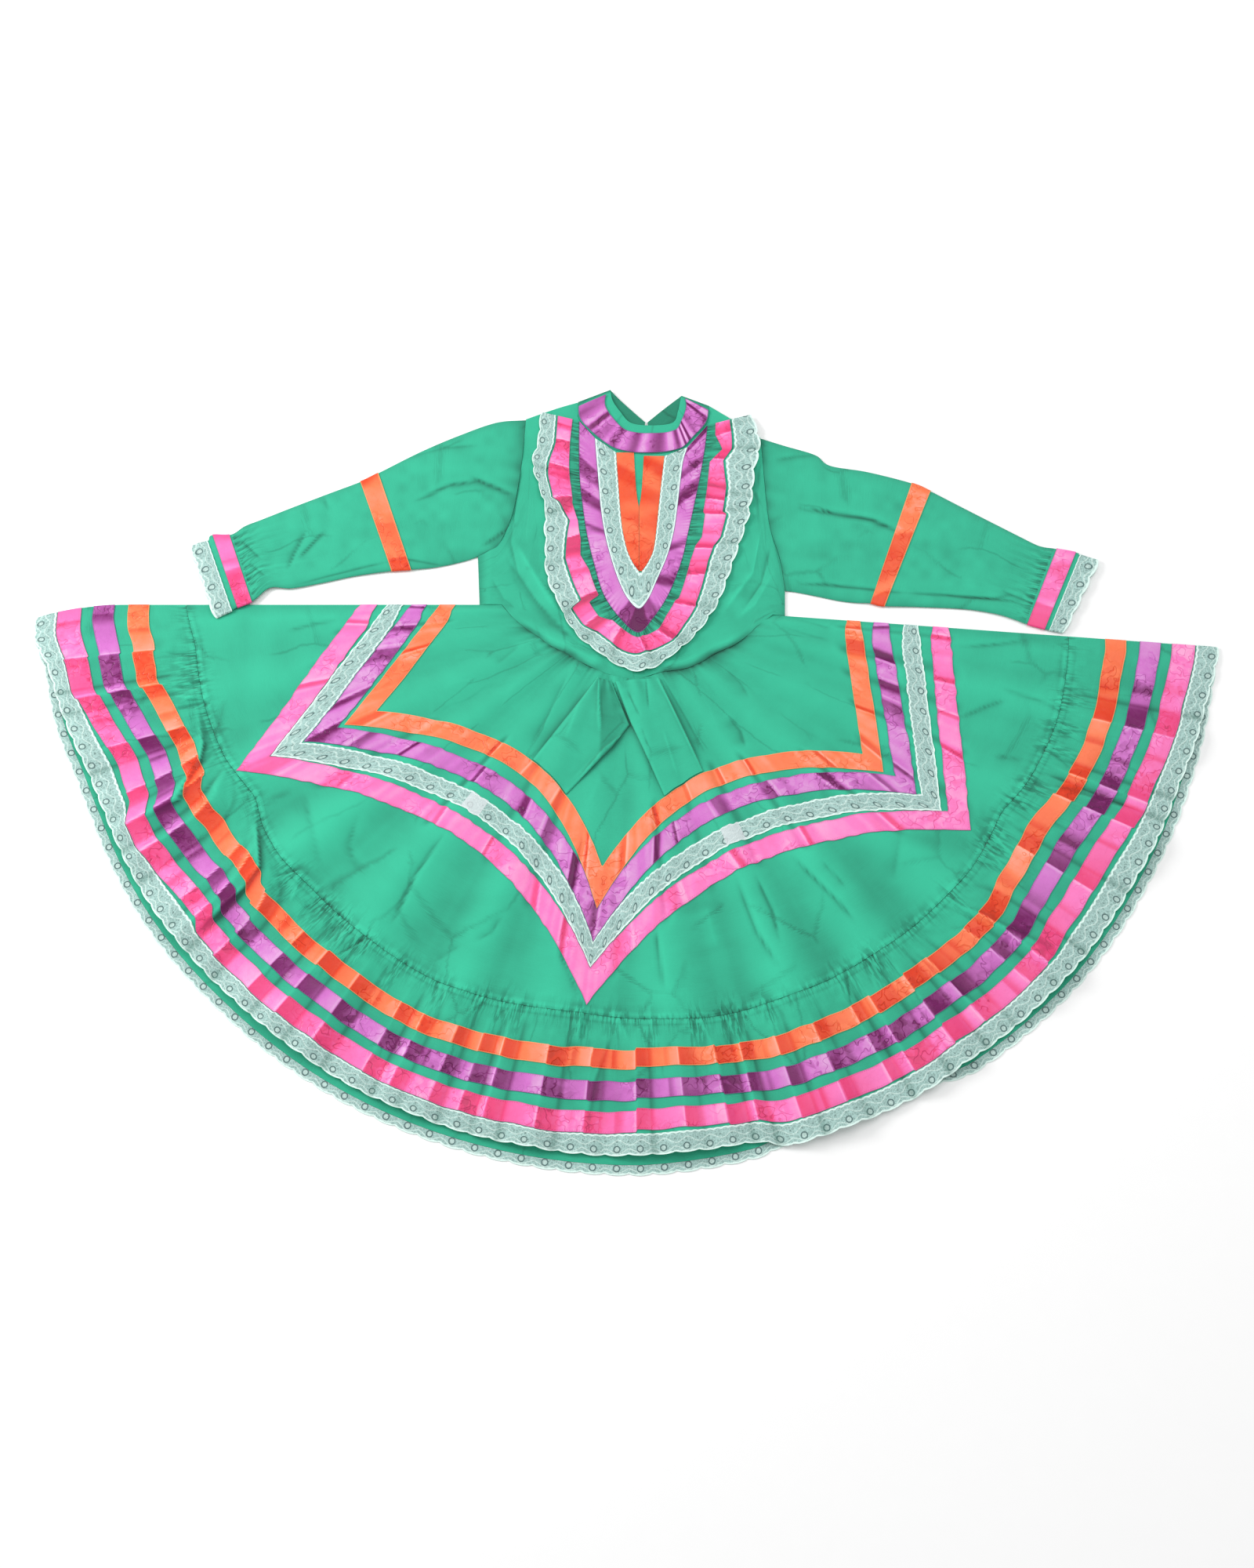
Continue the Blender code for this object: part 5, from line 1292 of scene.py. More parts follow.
def make_ties(orange_inner):
    """Two sash tails: ruled grids between their two sides, creased lengthwise, laid on skirt_lift."""
    angles = fan_columns(STAR_COLUMNS, TIP_ANGLES)
    t, s = shares(90), np.linspace(0.0, 1.0, 40)
    for name, (left, right) in TIES.items():
        one, two = along_chain(left, t[:, 0])[:, None], along_chain(right, t[:, 0])[:, None]
        xy = one * (1.0 - s[:, None]) + two * s[:, None]
        angle, radius = angle_of(xy[..., 0], xy[..., 1]), np.hypot(xy[..., 0], xy[..., 1])
        radius = np.clip(radius, waist_at(angle) + 1.0, np.interp(angle, angles, orange_inner) - 1.5)
        xy = polar(angle, radius)
        x, y = xy[..., 0], xy[..., 1]
        folds = 0.8 * (1.0 - smoothstep(t / 0.3)) * np.sin(np.pi * (3.0 * s + 0.4)) ** 2
        swell = 1.9 * np.sin(np.pi * s) ** 0.35 + 0.3 * mottle(51, x, y, 22.0) * np.sin(np.pi * s)
        own = np.maximum(folds + swell + creases(TIE_CREASES[name], x, y), 0.0)
        # Painted shade and highlight: hollows are darker and ridges lighter. The left tail's part right of
        # its crease is darker as it folds away from the light. A dark line lies just left of each ridge and a
        # painted glint left of each trough.
        fold_shade = 0.20 * smoothstep((x + 37.0) / 2.0) if name == "tie_left" else 0.0
        cloth(name, with_height(xy, FRONT_Z + TRIM_LIFT + skirt_lift(x, y) + own),
              shading(own, 6, 0.12, 0.5) - fold_shade - 0.14 * creases(TIE_CREASES[name], x + 1.5, y, 0.0))


def bodice_lift(x, y):
    """Height of the bodice front: an even loft, a soft roll above the waist seam, creases and a swell."""
    angle, radius = angle_of(x, y), np.hypot(x, y)
    inside = waist_at(np.clip(angle, FAN_START, FAN_END)) - radius
    roll = 1.5 * waist_hang(angle) * smoothstep(inside / 10.0)
    roll = roll * np.exp(-np.maximum(inside - 10.0, 0.0) / 24.0)
    swell = 0.35 * mottle(61, x, y, 42.0) + 0.22 * mottle(62, x, y, 17.0)
    loft = 1.1 + roll + swell + creases(BODICE_CREASES, x, y)
    return np.maximum(window(x, SIDE_LEFT, SIDE_RIGHT, 14.0, 14.0) * loft, 0.0)


def bodice_plan(tops, steps, rows):
    """Plan grid of a bodice panel: straight lines from the waist seam to its top edge."""
    feet = np.zeros((len(BODICE_COLUMNS), 2))
    for column, (foot, *_) in enumerate(BODICE_COLUMNS):
        if foot is not None:
            feet[column] = polar(foot, waist_at(foot) - SEAM_GAP)
    feet[0] = (SIDE_LEFT, SEAM_GAP)
    feet[1] = ((SIDE_LEFT + feet[2, 0]) / 2, SEAM_GAP)
    feet[2, 1] = SEAM_GAP
    feet[-1, 0] = SIDE_RIGHT
    feet[-2:, 1] = feet[-2:, 0] * math.tan(math.radians(FAN_END - 360.0)) + SEAM_GAP
    return strip(curve(feet, steps, (2, len(feet) - 2)), curve(tops, steps, BODICE_CORNERS), rows[:, None])


def bodice_tops():
    """x and y of the bodice front's top edge."""
    return np.array([(x, y) for _, x, y in BODICE_COLUMNS], dtype=float)


def make_bodice():
    """Bodice front on bodice_lift, and the back's two flat halves with the open slit between them."""
    plan = bodice_plan(bodice_tops(), 10, np.linspace(0.0, 1.0, 64))
    lift = bodice_lift(plan[..., 0], plan[..., 1])
    seam = np.linspace(0.0, 1.0, plan.shape[1])
    at_seam = np.exp(-seam * 70.0) + np.exp(-(1.0 - seam) * 70.0)
    # Painted shade and highlight: hollows and troughs are darker and ridges lighter. The waist's shadow lies
    # below the seam, with darker strips at the panel's two ends in the shade of the armhole seams.
    tone = shading(lift, 8, 0.10, 0.25) + 0.06 * creases(BODICE_CREASES, plan[..., 0], plan[..., 1], 0.0)
    tone = tone - np.where(plan[..., 1] < 0.0, waist_shadow(plan), 0.0) - 0.25 * at_seam
    cloth("bodice_front", with_height(plan, FRONT_Z + lift), tone)
    tops = bodice_tops()
    for column, x, y in BACK_NECK:
        tops[column] = (x, y)
    tops[CENTRE_BACK, 1] = SLIT_TOP_Y
    rows = np.linspace(0.0, 1.0, 32)
    plan = bodice_plan(tops, 4, rows)
    middle = CENTRE_BACK * 4
    half = np.interp(rows, BODICE_ROWS, SLIT)
    halves = (("left", plan[:, :middle + 1], -1, -1.0), ("right", plan[:, middle:], 0, 1.0))
    for side, part, edge, sign in halves:
        part = part.copy()
        part[:, edge, 0] += sign * half
        lift = 0.2 + 0.2 * mottle(63, part[..., 0], part[..., 1], 30.0)
        # Painted shade: the back's middle, seen inside the collar, is darker.
        inside = smoothstep(5.0 - 4.0 * np.hypot((part[..., 0] - 20.0) / 75.0, (part[..., 1] - 262.0) / 50.0))
        cloth("bodice_back_" + side, with_height(part, lift), 0.6 + 0.3 * lift - 0.34 * inside)


def sleeve_plan(side):
    """A sleeve's rings in plan [ring, point, xy] from the armhole on, its underside's height and its loft."""
    tops = bodice_tops()
    if side == "left":
        seam = tops[:ARMHOLE_POINTS][::-1] + np.array([-SEAM_GAP, 0.0])
    else:
        seam = tops[-ARMHOLE_POINTS:] + np.array([SEAM_GAP, 0.0])
    sections, heights = [along_chain(curve(seam, 12), ACROSS_SLEEVE)], [(0.0, 2.0)]
    for x_up, y_up, x_down, y_down, under, loft in SLEEVE_ROWS[side]:
        one, two = np.array((x_up, y_up), float), np.array((x_down, y_down), float)
        sections.append(one + ACROSS_SLEEVE[:, None] * (two - one))
        heights.append((under, loft))
    return (curve(np.array(sections), SLEEVE_STEPS), *curve(np.array(heights), SLEEVE_STEPS).T[:, :, None])


def sleeve_rings(side):
    """Outer rings of a flattened sleeve [ring, point, xyz], armhole to cuff, with their tone and gather.

    Across its upper layer a ring rises as a flat arch, by the fourth power of the distance from its middle.
    Its lower layer lies flat and turns up at both edges. Creases, shirring and a swell are added above.
    """
    plan, under, loft = sleeve_plan(side)
    x, y, across = plan[..., 0], plan[..., 1], ACROSS_SLEEVE
    from_middle = np.abs(2.0 * across - 1.0)
    arch = np.sqrt(np.clip(1.0 - from_middle ** 4, 0.0, 1.0))
    cuff = BAND_SECTIONS["cuff_ribbon"][side == "right"][0] * SLEEVE_STEPS
    ring = np.arange(len(plan))[:, None]
    to_cuff = np.abs(ring - cuff) / SLEEVE_STEPS * 24.0
    pleat = 10.0 * across + 0.5 * ripple(75, across * 10.0, 2.1) + 0.3 * ripple(71, ring * 1.0, 7.0)
    depth = np.clip(0.7 + 0.8 * ripple(76, across * 10.0, 1.0), 0.15, 1.4)
    shirring = depth * np.sin(2 * np.pi * pleat) * np.exp(-to_cuff / (9.0 + 8.0 * depth))
    shirring = np.where(ring < cuff, shirring, 0.25 * shirring)
    from_seam = ring / SLEEVE_STEPS * 30.0
    gathers = 0.3 * np.sin(2 * np.pi * (7.0 * across + 0.5 * ripple(72, across * 7.0, 1.9)))
    gathers = gathers * np.exp(-from_seam / 14.0)
    swell = 0.5 * mottle(73, x, y, 34.0) + 0.3 * mottle(74, x, y, 14.0)
    bare = smoothstep((cuff - ring) / 8.0)
    worked = arch * (shirring + gathers + bare * (swell + 0.95 * creases(SLEEVE_CREASES, x, y, 0.10)))
    lower = under + 1.2 * from_middle ** 8
    upper = np.maximum(under + 1.2 + arch * (loft + 0.8) + worked, lower + 2.0 * arch)
    top = with_height(plan, upper)
    bottom = with_height(plan[:, UNDERSIDE], lower[:, UNDERSIDE])
    # Painted shade and highlight: hollows are darker and ridges lighter, with creases darker along troughs
    # and a dark band at the armhole seam. The flattened sleeve's folded edges are darker, and its lower layer
    # a little darker.
    at_seam = np.exp(-ring / 2.5) * 0.35
    tone = shading(worked, 8, 0.10, 0.30) + 0.08 * creases(SLEEVE_CREASES, x, y, 0.0) * bare * arch
    tone = tone - at_seam - 0.18 * from_middle ** 12
    gather = np.exp(-to_cuff / 16.0) * (ring < cuff) * arch
    below = np.zeros(bottom.shape[:2])
    return (np.concatenate([top, bottom], axis=1), np.concatenate([tone, below + 0.62], axis=1),
            np.concatenate([gather, below], axis=1))


def ring_shares():
    """Share of the way from the upper to the lower edge of each point of a sleeve's ring."""
    return np.concatenate([ACROSS_SLEEVE, ACROSS_SLEEVE[UNDERSIDE]])


def ring_outward(rings):
    """Outward direction at each point of the rings: square to the ring's line and to the sleeve's length."""
    round_it = np.roll(rings, -1, axis=1) - np.roll(rings, 1, axis=1)
    along = np.gradient(rings, axis=0)
    out = np.cross(round_it, along)
    out /= np.maximum(np.linalg.norm(out, axis=2, keepdims=True), 1e-9)
    centre = rings.mean(axis=1, keepdims=True)
    flip = np.sign(((rings - centre) * out).sum(axis=(1, 2), keepdims=True))
    return out * flip


def ring_chart(rings, kind=None):
    """UV map of rings: running length round them, and millimetres along them or 0 to 1 across a trim."""
    closed = np.concatenate([rings, rings[:, :1]], axis=1)
    u = running_length(closed[len(closed) // 2])
    v = running_length(rings[:, SLEEVE_ACROSS // 2])
    if kind:
        u = u / u[-1] * max(1, round(u[-1] / pitch_of(kind)))
        v = np.linspace(0.0, 1.0, len(rings))
    return np.stack(np.meshgrid(u, v), axis=-1)


def make_sleeves():
    """Both sleeves as flattened tubes, with the orange band, the pink cuff ribbon and the cuff lace."""
    share = ring_shares()
    for side in ("left", "right"):
        rings, tone, gather = sleeve_rings(side)
        out = ring_outward(rings)
        inset = rings.copy()
        inset[..., :2] += (rings.mean(axis=1, keepdims=True) - rings)[..., :2] * 0.018
        rise = np.where(np.arange(len(share)) < SLEEVE_ACROSS, -CLOTH, CLOTH)
        inset[..., 2] += rise * smoothstep(12.0 * np.minimum(share, 1.0 - share))
        shell("sleeve_" + side, "green", inset, rings, ring_chart(rings), tone, gather, wrap=True)
        for band, kind in (("armband", "orange"), ("cuff_ribbon", "pink"), ("cuff_lace", "lace")):
            first, last = BAND_SECTIONS[band][side == "right"]
            narrower = 1 if band == "cuff_ribbon" else 0
            span = slice(first * SLEEVE_STEPS + narrower, last * SLEEVE_STEPS + 1 - narrower)
            part, away = rings[span], out[span]
            if kind == "lace":
                part, away = lace_past_cuff(side, part, away)
            seed = 81 + 3 * (side == "right") + len(band)
            loose = 0.25 * (1.0 + ripple(seed, np.arange(part.shape[1]) * 3.0, 12.0))
            near = part + away * (SEAM_GAP + loose[:, None] * 0.6)
            near[..., 2] = np.maximum(near[..., 2], 0.05)
            outer = near + away * RIBBON
            outer[..., 2] = np.maximum(outer[..., 2], 0.02)
            tone = 0.5 if kind == "lace" else band_tones(f"{band}_{side}", seed, share, len(part))
            shell(f"{band}_{side}", kind, near, outer, ring_chart(part, kind), tone, wrap=True)


def band_tones(name, seed, share, rows):
    """Painted satin sheen of a ribbon round a sleeve: bright, with the painted shade blocks of its table, a
    bit slanted.
    """
    slanted = share + 0.06 * np.linspace(-1.0, 1.0, rows)[:, None] * ripple(seed, share * 5.0, 1.0)
    tone = 0.74 + 0.12 * ripple(seed, share * 30.0, 3.0)
    for begin, end, deep in BAND_SHADE_BLOCKS[name]:
        tone = tone - deep * smoothstep((slanted - begin) / 0.02) * smoothstep((end - slanted) / 0.12 + 0.2)
    return tone


def lace_past_cuff(side, part, away):
    """The cuff lace's rings: from its row on the sleeve out past the cloth, with a scalloped end."""
    x_up, y_up, x_down, y_down = CUFF_LACE_END[side]
    last = part[-1]
    share = ring_shares()
    end = np.array((x_up, y_up)) + share[:, None] * np.array((x_down - x_up, y_down - y_up))
    steps = shares(7)[1:, :, None]
    scalloped = np.where(steps > 0.5, 1.0 - 0.28 * notch(4.0 * share, 0.7)[:, None], 1.0)
    past = np.repeat(last[None], len(steps), axis=0)
    past[..., :2] += (end - last[:, :2]) * steps * scalloped
    return np.concatenate([part, past]), np.concatenate([away, np.repeat(away[-1:], len(steps), axis=0)])


def make_collar():
    """Stand collar: a band from the centre back round the front and back again.

    Its sections are the seam and top points of the tables; the wall stands half its thickness to both sides.
    """
    neck, top = bodice_tops()[NECK], np.array(COLLAR_FRONT_TOP, dtype=float)
    inward = top - neck
    neck = neck + 1.5 * SEAM_GAP * inward / np.linalg.norm(inward, axis=1)[:, None]
    back = np.array(COLLAR_BACK, dtype=float).reshape(-1, 2, 2)
    plan = np.concatenate([back[:3], np.stack([neck, top], axis=1), back[3:]])
    count = len(plan)
    z = np.full((count, 2), COLLAR_BACK_Z)
    z[4:-4] = (COLLAR_SEAM_Z, COLLAR_TOP_Z)
    z[3] = z[-4] = COLLAR_FOLD_Z
    out = np.zeros((count, 2, 3))
    out[:3, :, 2] = out[-3:, :, 2] = -1.0
    out[4:-4, :, 2] = 1.0
    for fold, away in ((3, -1.0), (count - 4, 1.0)):
        line = plan[fold, 1] - plan[fold, 0]
        line = line / np.linalg.norm(line)
        out[fold, :, :2] = away * np.array([line[1], -line[0]])
    steps = 16
    centre = curve(np.concatenate([plan, z[..., None]], axis=2), steps, (3, count - 4))
    out = curve(out, steps, (3, count - 4))
    out /= np.linalg.norm(out, axis=2, keepdims=True)
    up = shares(12)
    centre, out = (strip(line[:, 0], line[:, 1], up) for line in (centre, out))
    place = np.arange(centre.shape[1])[None]
    front = window(place, 3 * steps, (count - 4) * steps, 6.0, 6.0)
    swell = front * (0.5 * np.sin(np.pi * up) + 0.25 * mottle(91, place * 2.0, up * 30.0, 11.0))
    centre = centre + out * swell[..., None]
    low, high = centre - out * CLOTH / 2, centre + out * CLOTH / 2
    # Painted shade: the collar's back and inside are darker than its front, and its swells a little lighter
    # on their crowns.
    tone = 0.30 + 0.42 * front + 0.12 * (shading(swell * 3.0, 2, 0.2) - 0.7)
    shell("collar", "green", low, high, chart_of(centre), tone)
    begin, end = 3 * steps + 5, (count - 4) * steps - 4
    make_collar_ribbon(curve(high[0, begin:end], 4), curve(high[-1, begin:end], 4))


def make_collar_ribbon(seam, edge):
    """The collar's gathered purple ribbon, over its front from the neck seam to near its top edge."""
    low_edge, high_edge, end_edge = COLLAR_RIBBON
    high_edge = high_edge + (end_edge - high_edge) * np.abs(np.linspace(-1.0, 1.0, len(seam))) ** 4
    across = shares(10)
    run = np.linspace(0.0, COLLAR_GATHERS, len(seam))[None]
    wave = np.sin(2 * np.pi * (run + 0.7 * ripple(92, run, 1.7) + 0.3 * across * ripple(93, run, 2.0)))
    wave = wave * np.clip(0.6 + 0.6 * ripple(94, run, 0.9), 0.1, 1.0)
    pucker = (0.5 + 0.5 * wave) * (0.5 + 0.5 * np.sin(np.pi * across))
    grid = raised(strip(seam, edge, low_edge + across * (high_edge - low_edge)), TRIM_LIFT)
    grid[..., 2] += 1.5 * pucker
    slope = np.gradient(wave, axis=1)
    # Painted light and shade: the puckers' slopes facing one way are lighter, the others darker.
    tone = 0.62 + 0.34 * np.clip(3.0 * slope / np.abs(slope).max(), -1.0, 1.0) + 0.10 * ripple(95, run, 0.4)
    trim("collar_ribbon", "purple", grid, tone)


def bib_lines(stations):
    """The four lines of the bib at the given rows, each [station, xy], as a curve through the table."""
    fine = curve(BIB, 64)
    at = np.linspace(0.0, len(BIB) - 1, len(fine))
    line = np.stack([np.interp(stations, at, fine[:, k]) for k in range(8)], axis=1)
    return [line[:, 2 * k:2 * k + 2] for k in range(4)]


def strip(inner, outer, share):
    """Plan grid between two lines: one row for each share of the way across, or a share for each point."""
    return inner * (1 - share[..., None]) + outer * share[..., None]


def on_bodice(xy, own):
    """Points of a trim that lies on the bodice front, at its own height above it."""
    return with_height(xy, FRONT_Z + TRIM_LIFT + bodice_lift(xy[..., 0], xy[..., 1]) + own)


def pulled_in(inner, outer):
    """Both lines moved towards each other by half a seam gap."""
    width = outer - inner
    width = SEAM_GAP / 2 * width / np.linalg.norm(width, axis=1)[:, None]
    return inner + width, outer - width


def make_bib():
    """The bib: lace, purple ribbon, orange insert, and the pleated ruffle with its pink ribbon and lace."""
    stations = np.linspace(0.0, len(BIB) - 1.0, 480)
    insert, lace, purple, ruffle = bib_lines(stations)
    across = shares(9)
    inner, outer = pulled_in(insert, lace)
    own = 0.35 * (1.0 + ripple(101, running_length((inner + outer) / 2), 9.0)) * np.sin(np.pi * across)
    trim("bib_lace_inner", "lace", on_bodice(strip(inner, outer, across), own), 0.5)
    inner, outer = pulled_in(lace, purple)
    run = running_length((inner + outer) / 2)
    wave = ripple(102, run, 9.0)
    seen = stations + 0.3 * (across - 0.5) * np.sign(BIB_POINT - stations)
    tone = 0.80 + 0.10 * ripple(103, run + 10.0 * across, 24.0) + 0.10 * wave * across
    # Painted shade along the rows where the ribbon turns from the light.
    for first, last in BIB_DARK_PURPLE:
        tone = tone - 0.50 * window(seen, first, last, 0.16, 0.3)
    pleat = np.sin(2 * np.pi * (run / 10.0 + 0.9 * ripple(104, run, 16.0))) ** 2
    own = 0.35 * (1.0 + wave) * np.sin(np.pi * across)
    own = own + 1.2 * pleat * across ** 3 * smoothstep(np.abs(stations - BIB_POINT) / 2.0)
    # Painted light and shade by the slope of the pleats.
    tone = tone + 0.35 * np.clip(np.gradient(own, axis=1), -1.0, 0.6)
    trim("bib_ribbon_purple", "purple", on_bodice(strip(inner, outer, across), own), tone)
    for side, sign, first, last in (("left", -1, 0.0, BIB_POINT - INSERT_BLUNT),
                                    ("right", 1, BIB_POINT + INSERT_BLUNT, len(BIB) - 1.0)):
        make_insert(side, sign, np.linspace(first, last, 150))
    make_bib_ruffle(stations, purple, ruffle)


def make_insert(side, sign, at):
    """One orange length of the bib's insert, from the slit at the middle to the lace, over the given rows."""
    edge = bib_lines(at)[0]
    row = BIB_POINT - np.abs(at - BIB_POINT)
    opening = np.interp(row, *np.array(SLIT_FRONT).T)
    middle = np.column_stack([SLIT_FRONT_X + sign * opening, edge[:, 1]])
    outer = pulled_in(middle, edge)[1]
    across = shares(12)
    run = running_length(middle)
    own = 0.5 * (1.0 + mottle(104 + sign, run[None], 26.0 * across, 13.0)) * np.sin(np.pi * across) ** 0.6
    low = on_bodice(strip(middle, outer, across), own)
    # Painted satin sheen: darker towards the point, with a painted highlight band at row 3.1 and lighter and
    # darker blocks.
    blocks = ripple(106 + sign, run + 14.0 * across, 20.0)
    tone = 0.42 - 0.12 * smoothstep((row - 5.0) / 2.0) + 0.30 * hump(row - 3.1, 0.40)
    chart = trim_chart(low, "orange")
    chart[..., 1] = 0.12 + 0.85 * chart[..., 1]
    trim("bib_insert_" + side, "orange", low, tone + 0.20 * np.clip(1.8 * blocks, -0.8, 1.0), chart)


def make_bib_ruffle(stations, purple, ruffle):
    """The bib's gathered ruffle: pleats rise towards its edge and small gathers die out from its seam."""
    width = np.linalg.norm(ruffle - purple, axis=1)
    start = purple + SEAM_GAP * (ruffle - purple) / width[:, None]
    lines = fold_lines(BIB_FOLDS, 0.0, len(BIB) - 1.0)
    rows, *edges = np.array(BIB_TRIMS).T
    pink_in, pink_out, lace_out = (np.interp(stations, rows, edge) for edge in edges)
    run, run_out = running_length(purple), running_length(ruffle)
    waves = 0.5 + 0.5 * np.sin(2 * np.pi * (run / 7.0 + 0.9 * ripple(111, run, 15.0)))
    waves = waves * (0.6 + 0.4 * ripple(112, run, 8.0))

    def own(share):
        pleats = np.interp(stations, *lines) * smoothstep(share * 2.2) * (0.7 + 0.3 * share)
        gathers = 0.6 * waves * np.exp(-share * width / 9.0)
        return pleats + gathers + 0.5 * (1.0 + ripple(113, run_out, 26.0)) * share

    share = shares(18) * np.minimum(pink_out + BIB_CLOTH_PAST_PINK, 0.96)
    lift = own(share)
    # Painted shade: hollows of the gathers are darker and their crowns lighter, the whole cloth is a little
    # darker in the trims' shade, and shadows lie at the pleats' feet.
    shadow = fold_shadows(*lines, stations + 0.0 * share, 0.12)
    cloth("bib_ruffle", on_bodice(strip(start, ruffle, share), lift),
          shading(lift, 4, 0.10, 0.60) - 0.10 - 0.3 * shadow, np.exp(-share * width / 14.0))
    across = shares(8)
    slanted = stations + 0.18 * (across - 0.5) * ripple(115, stations * 9.0, 7.0)
    share = pink_in + across * (pink_out - pink_in)
    # Painted satin sheen over the pleats, darker in uneven streaks.
    tone = 1.35 * fold_tones(*lines, 114, slanted) - 0.20 - 0.12 * np.abs(ripple(116, stations * 60.0, 9.0))
    low = on_bodice(strip(start, ruffle, share), TRIM_LIFT + own(share))
    trim("bib_ribbon_pink", "pink", low, tone)
    inner = pink_out + 0.04
    share = inner + across * (lace_out - inner) - across * 0.05 * notch(run_out / LACE_PITCH)
    low = on_bodice(strip(start, ruffle, share), TRIM_LIFT + own(share))
    trim("bib_lace_outer", "lace", low, 0.5 - 0.3 * fold_shadows(*lines, slanted, 0.12))


COLOURS = {
    # property: name, what it colours, red, green and blue as displayed
    "green": ("Green cloth", "The woven cloth", (50, 179, 143)),
    "orange": ("Orange satin", "The orange ribbon where it faces the light", (248, 124, 78)),
    "orange_deep": ("Orange in folds", "The orange ribbon where it turns away", (222, 56, 18)),
    "purple": ("Purple satin", "The purple ribbon where it faces the light", (204, 110, 194)),
    "purple_deep": ("Purple in folds", "The purple ribbon where it turns away", (112, 8, 90)),
    "pink": ("Pink satin", "The pink ribbon where it faces the light", (245, 120, 190)),
    "pink_deep": ("Pink in folds", "The pink ribbon where it turns away", (232, 62, 120)),
    "lace": ("Lace", "The lace's thread", (176, 210, 204)),
}


class DressLooks(bpy.types.PropertyGroup):
    """Colours of the cloth, the ribbons and the lace."""

    __annotations__ = {key: bpy.props.FloatVectorProperty(
        name=name, description=description, subtype="COLOR", size=3, min=0.0, max=1.0, default=linear(colour))
        for key, (name, description, colour) in COLOURS.items()}


class DressLight(bpy.types.PropertyGroup):
    """The studio round the dress."""

    key_power: bpy.props.FloatProperty(
        name="Key light", description="Power of the large light on the left", subtype="POWER", min=0.0,
        default=46.0)
    fill: bpy.props.FloatProperty(
        name="Fill", description="Strength of the even light from all round", min=0.0, default=0.62)
    camera_distance: bpy.props.FloatProperty(
        name="Camera distance", description="From the camera to the middle of its view", subtype="DISTANCE",
        unit="LENGTH", min=0.5, default=2.6)


class DressOperator:
    """What every step of the dress shares."""

    bl_options = {"REGISTER", "UNDO"}


class DRESS_OT_backs(DressOperator, bpy.types.Operator):
    """Lay the back panels of skirt and ruffle and the back's hem lace on the floor"""

    bl_idname = "dress.backs"
    bl_label = "Back panels"

    def execute(self, context):
        make_backs()
        return {"FINISHED"}


class DRESS_OT_skirt(DressOperator, bpy.types.Operator):
    """Make the skirt front with its flutes, gathers and creases"""

    bl_idname = "dress.skirt"
    bl_label = "Skirt front"

    def execute(self, context):
        make_skirt_front()
        return {"FINISHED"}


class DRESS_OT_ruffle(DressOperator, bpy.types.Operator):
    """Make the gathered hem ruffle with its ribbons and lace"""

    bl_idname = "dress.ruffle"
    bl_label = "Hem ruffle"

    def execute(self, context):
        make_ruffle_front()
        return {"FINISHED"}


class DRESS_OT_zigzag(DressOperator, bpy.types.Operator):
    """Lay the zigzag of ribbons and lace, and the two sash tails, on the skirt"""

    bl_idname = "dress.zigzag"
    bl_label = "Zigzag and sash tails"

    def execute(self, context):
        make_ties(make_zigzag())
        return {"FINISHED"}


class DRESS_OT_bodice(DressOperator, bpy.types.Operator):
    """Make the bodice front and the two halves of its back"""

    bl_idname = "dress.bodice"
    bl_label = "Bodice"

    def execute(self, context):
        make_bodice()
        return {"FINISHED"}


class DRESS_OT_sleeves(DressOperator, bpy.types.Operator):
    """Make both sleeves with their bands, cuff ribbons and cuff laces"""

    bl_idname = "dress.sleeves"
    bl_label = "Sleeves"

    def execute(self, context):
        make_sleeves()
        return {"FINISHED"}


class DRESS_OT_collar(DressOperator, bpy.types.Operator):
    """Make the stand collar and its gathered ribbon"""

    bl_idname = "dress.collar"
    bl_label = "Collar"

    def execute(self, context):
        make_collar()
        return {"FINISHED"}


class DRESS_OT_bib(DressOperator, bpy.types.Operator):
    """Make the bib's insert, laces, ribbons and pleated ruffle"""

    bl_idname = "dress.bib"
    bl_label = "Bib"

    def execute(self, context):
        make_bib()
        return {"FINISHED"}


class DRESS_OT_stage(DressOperator, bpy.types.Operator):
    """Set the floor, the lights and the camera"""

    bl_idname = "dress.stage"
    bl_label = "Stage"

    def execute(self, context):
        make_stage(context.scene)
        return {"FINISHED"}


class DRESS_PT_panel(bpy.types.Panel):
    """Lists the dress's steps, colours and lights"""

    bl_idname = "DRESS_PT_panel"
    bl_label = "Folklorico dress"
    bl_space_type = "VIEW_3D"
    bl_region_type = "UI"
    bl_category = "Dress"

    def draw(self, context):
        for step in STEPS:
            self.layout.operator(step.bl_idname)
        for group in (context.scene.dress_looks, context.scene.dress_light):
            for name in group.__annotations__:
                self.layout.prop(group, name)


STEPS = (DRESS_OT_stage, DRESS_OT_backs, DRESS_OT_skirt, DRESS_OT_ruffle, DRESS_OT_zigzag, DRESS_OT_bodice,
         DRESS_OT_sleeves, DRESS_OT_collar, DRESS_OT_bib)
CLASSES = (DressLooks, DressLight, *STEPS, DRESS_PT_panel)


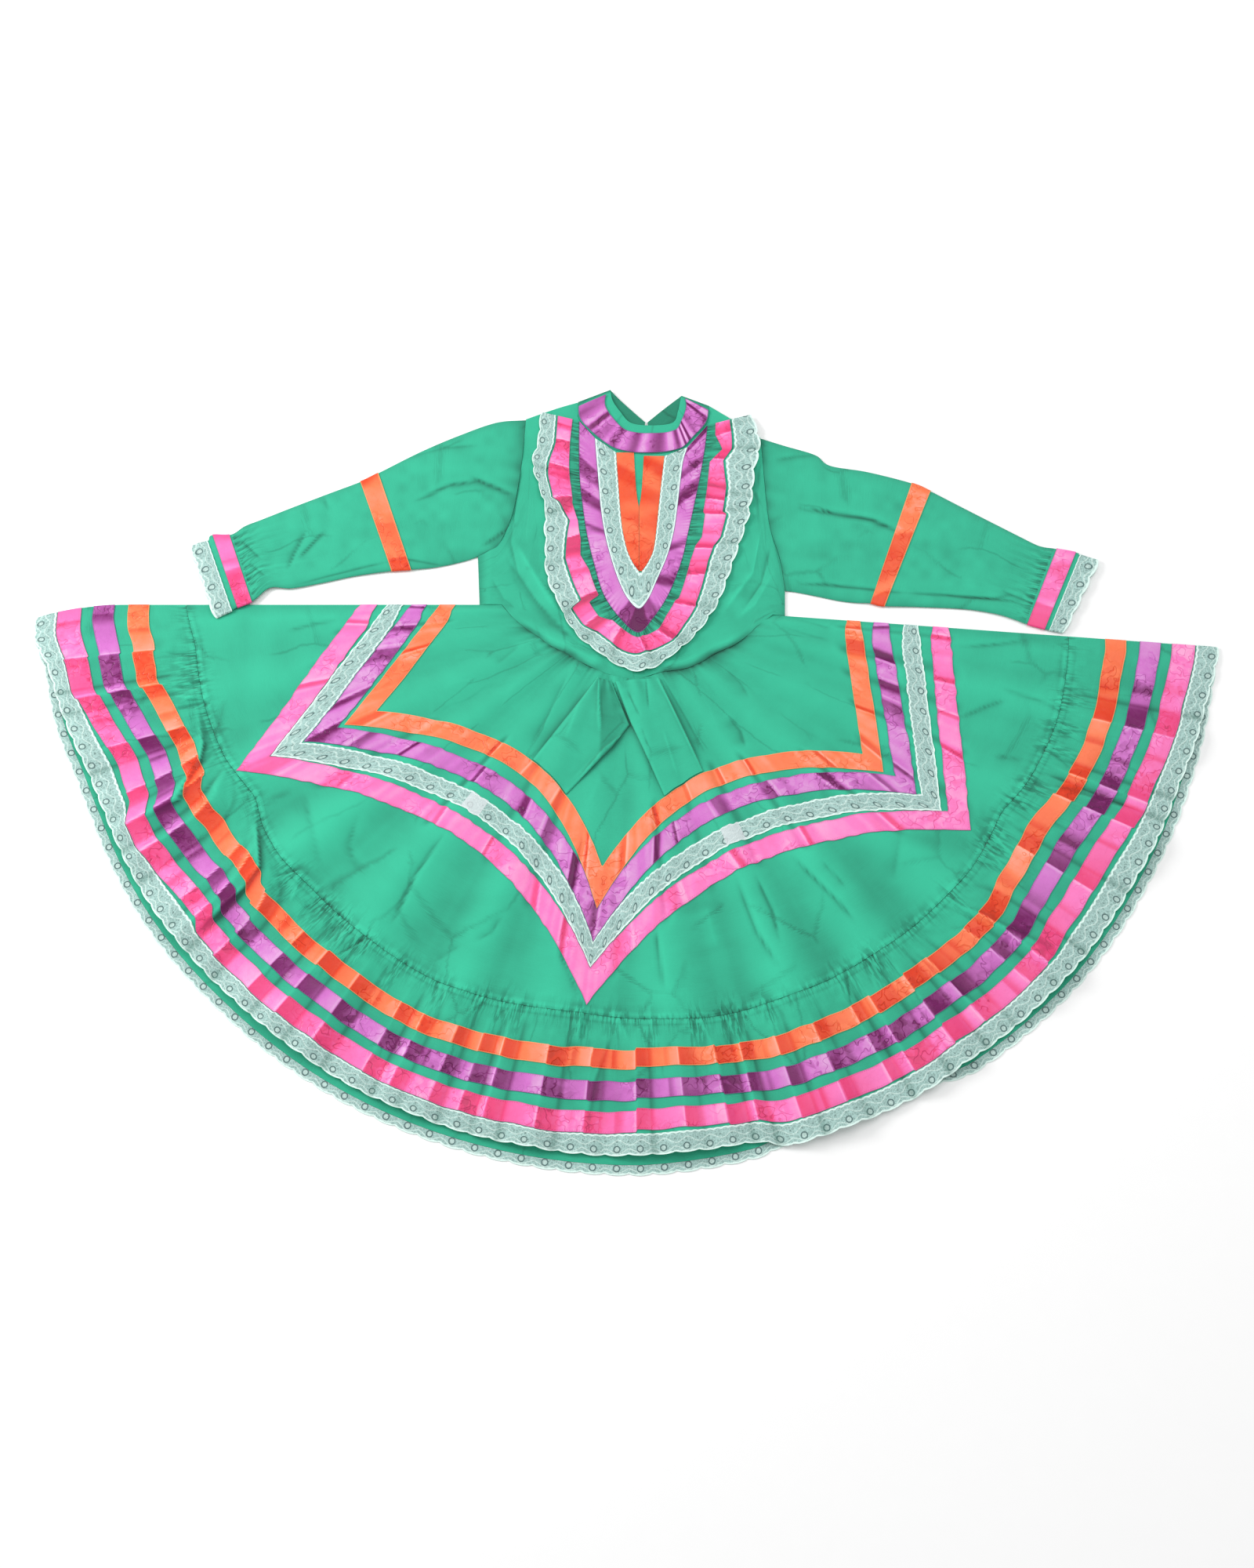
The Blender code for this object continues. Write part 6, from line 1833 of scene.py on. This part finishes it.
def make_stage(scene):
    """Pale floor, a large key light low on the left, a soft one above, the camera at the photo's angle."""
    light = scene.dress_light
    mesh = bpy.data.meshes.new("floor")
    corners = [(x * FLOOR_SIDE, y * FLOOR_SIDE, FLOOR_Z) for x, y in ((-1, -1), (1, -1), (1, 1), (-1, 1))]
    mesh.from_pydata(corners, [], [(0, 1, 2, 3)])
    floor = bpy.data.objects.new("floor", mesh)
    scene.collection.objects.link(floor)
    f = Finish("floor_paper")
    grain = f.noise(f.node("ShaderNodeTexCoord", output=3), 40.0, 3.0)
    tint = f.ramp(grain, [(0.0, (0.975, 0.975, 0.975)), (1.0, (0.99, 0.99, 0.99))])
    mesh.materials.append(f.close({"Base Color": tint, "Roughness": 0.9, "Specular IOR Level": 0.0}))
    add_light(scene, "key", light.key_power, (-2.3, 0.5, 1.5), (0.0, -57.0, -12.0), 1.1)
    add_light(scene, "top", 28.0, (0.6, 0.5, 2.8), (-10.0, 8.0, 0.0), 2.2)
    world = bpy.data.worlds.new("studio")
    world.use_nodes = True
    world.node_tree.nodes["Background"].inputs[0].default_value = (1.0, 1.0, 1.0, 1.0)
    world.node_tree.nodes["Background"].inputs[1].default_value = light.fill
    scene.world = world
    scene.view_settings.view_transform = "Standard"
    camera = bpy.data.objects.new("camera", bpy.data.cameras.new("camera"))
    elevation = math.radians(CAMERA_ELEVATION)
    far = light.camera_distance
    x, y = CAMERA_AIM
    camera.location = (x, y - far * math.cos(elevation), far * math.sin(elevation))
    camera.rotation_euler = (math.radians(90.0 - CAMERA_ELEVATION), 0.0, 0.0)
    camera.data.lens = CAMERA_LENS
    camera.data.sensor_width = 36.0
    scene.collection.objects.link(camera)
    scene.camera = camera


def add_light(scene, name, power, place, turn, size):
    """A square area light at a place, in metres, turned by three angles in degrees."""
    light = bpy.data.lights.new(name, "AREA")
    light.energy = power
    light.size = size
    lamp = bpy.data.objects.new(name, light)
    lamp.location = place
    lamp.rotation_euler = [math.radians(angle) for angle in turn]
    scene.collection.objects.link(lamp)


def register():
    for cls in CLASSES:
        bpy.utils.register_class(cls)
    bpy.types.Scene.dress_looks = bpy.props.PointerProperty(type=DressLooks)
    bpy.types.Scene.dress_light = bpy.props.PointerProperty(type=DressLight)


def unregister():
    del bpy.types.Scene.dress_light
    del bpy.types.Scene.dress_looks
    for cls in reversed(CLASSES):
        bpy.utils.unregister_class(cls)


def main():
    register()
    for step in STEPS:
        group, name = step.bl_idname.split(".")
        getattr(getattr(bpy.ops, group), name)()


if __name__ == "__main__":
    main()
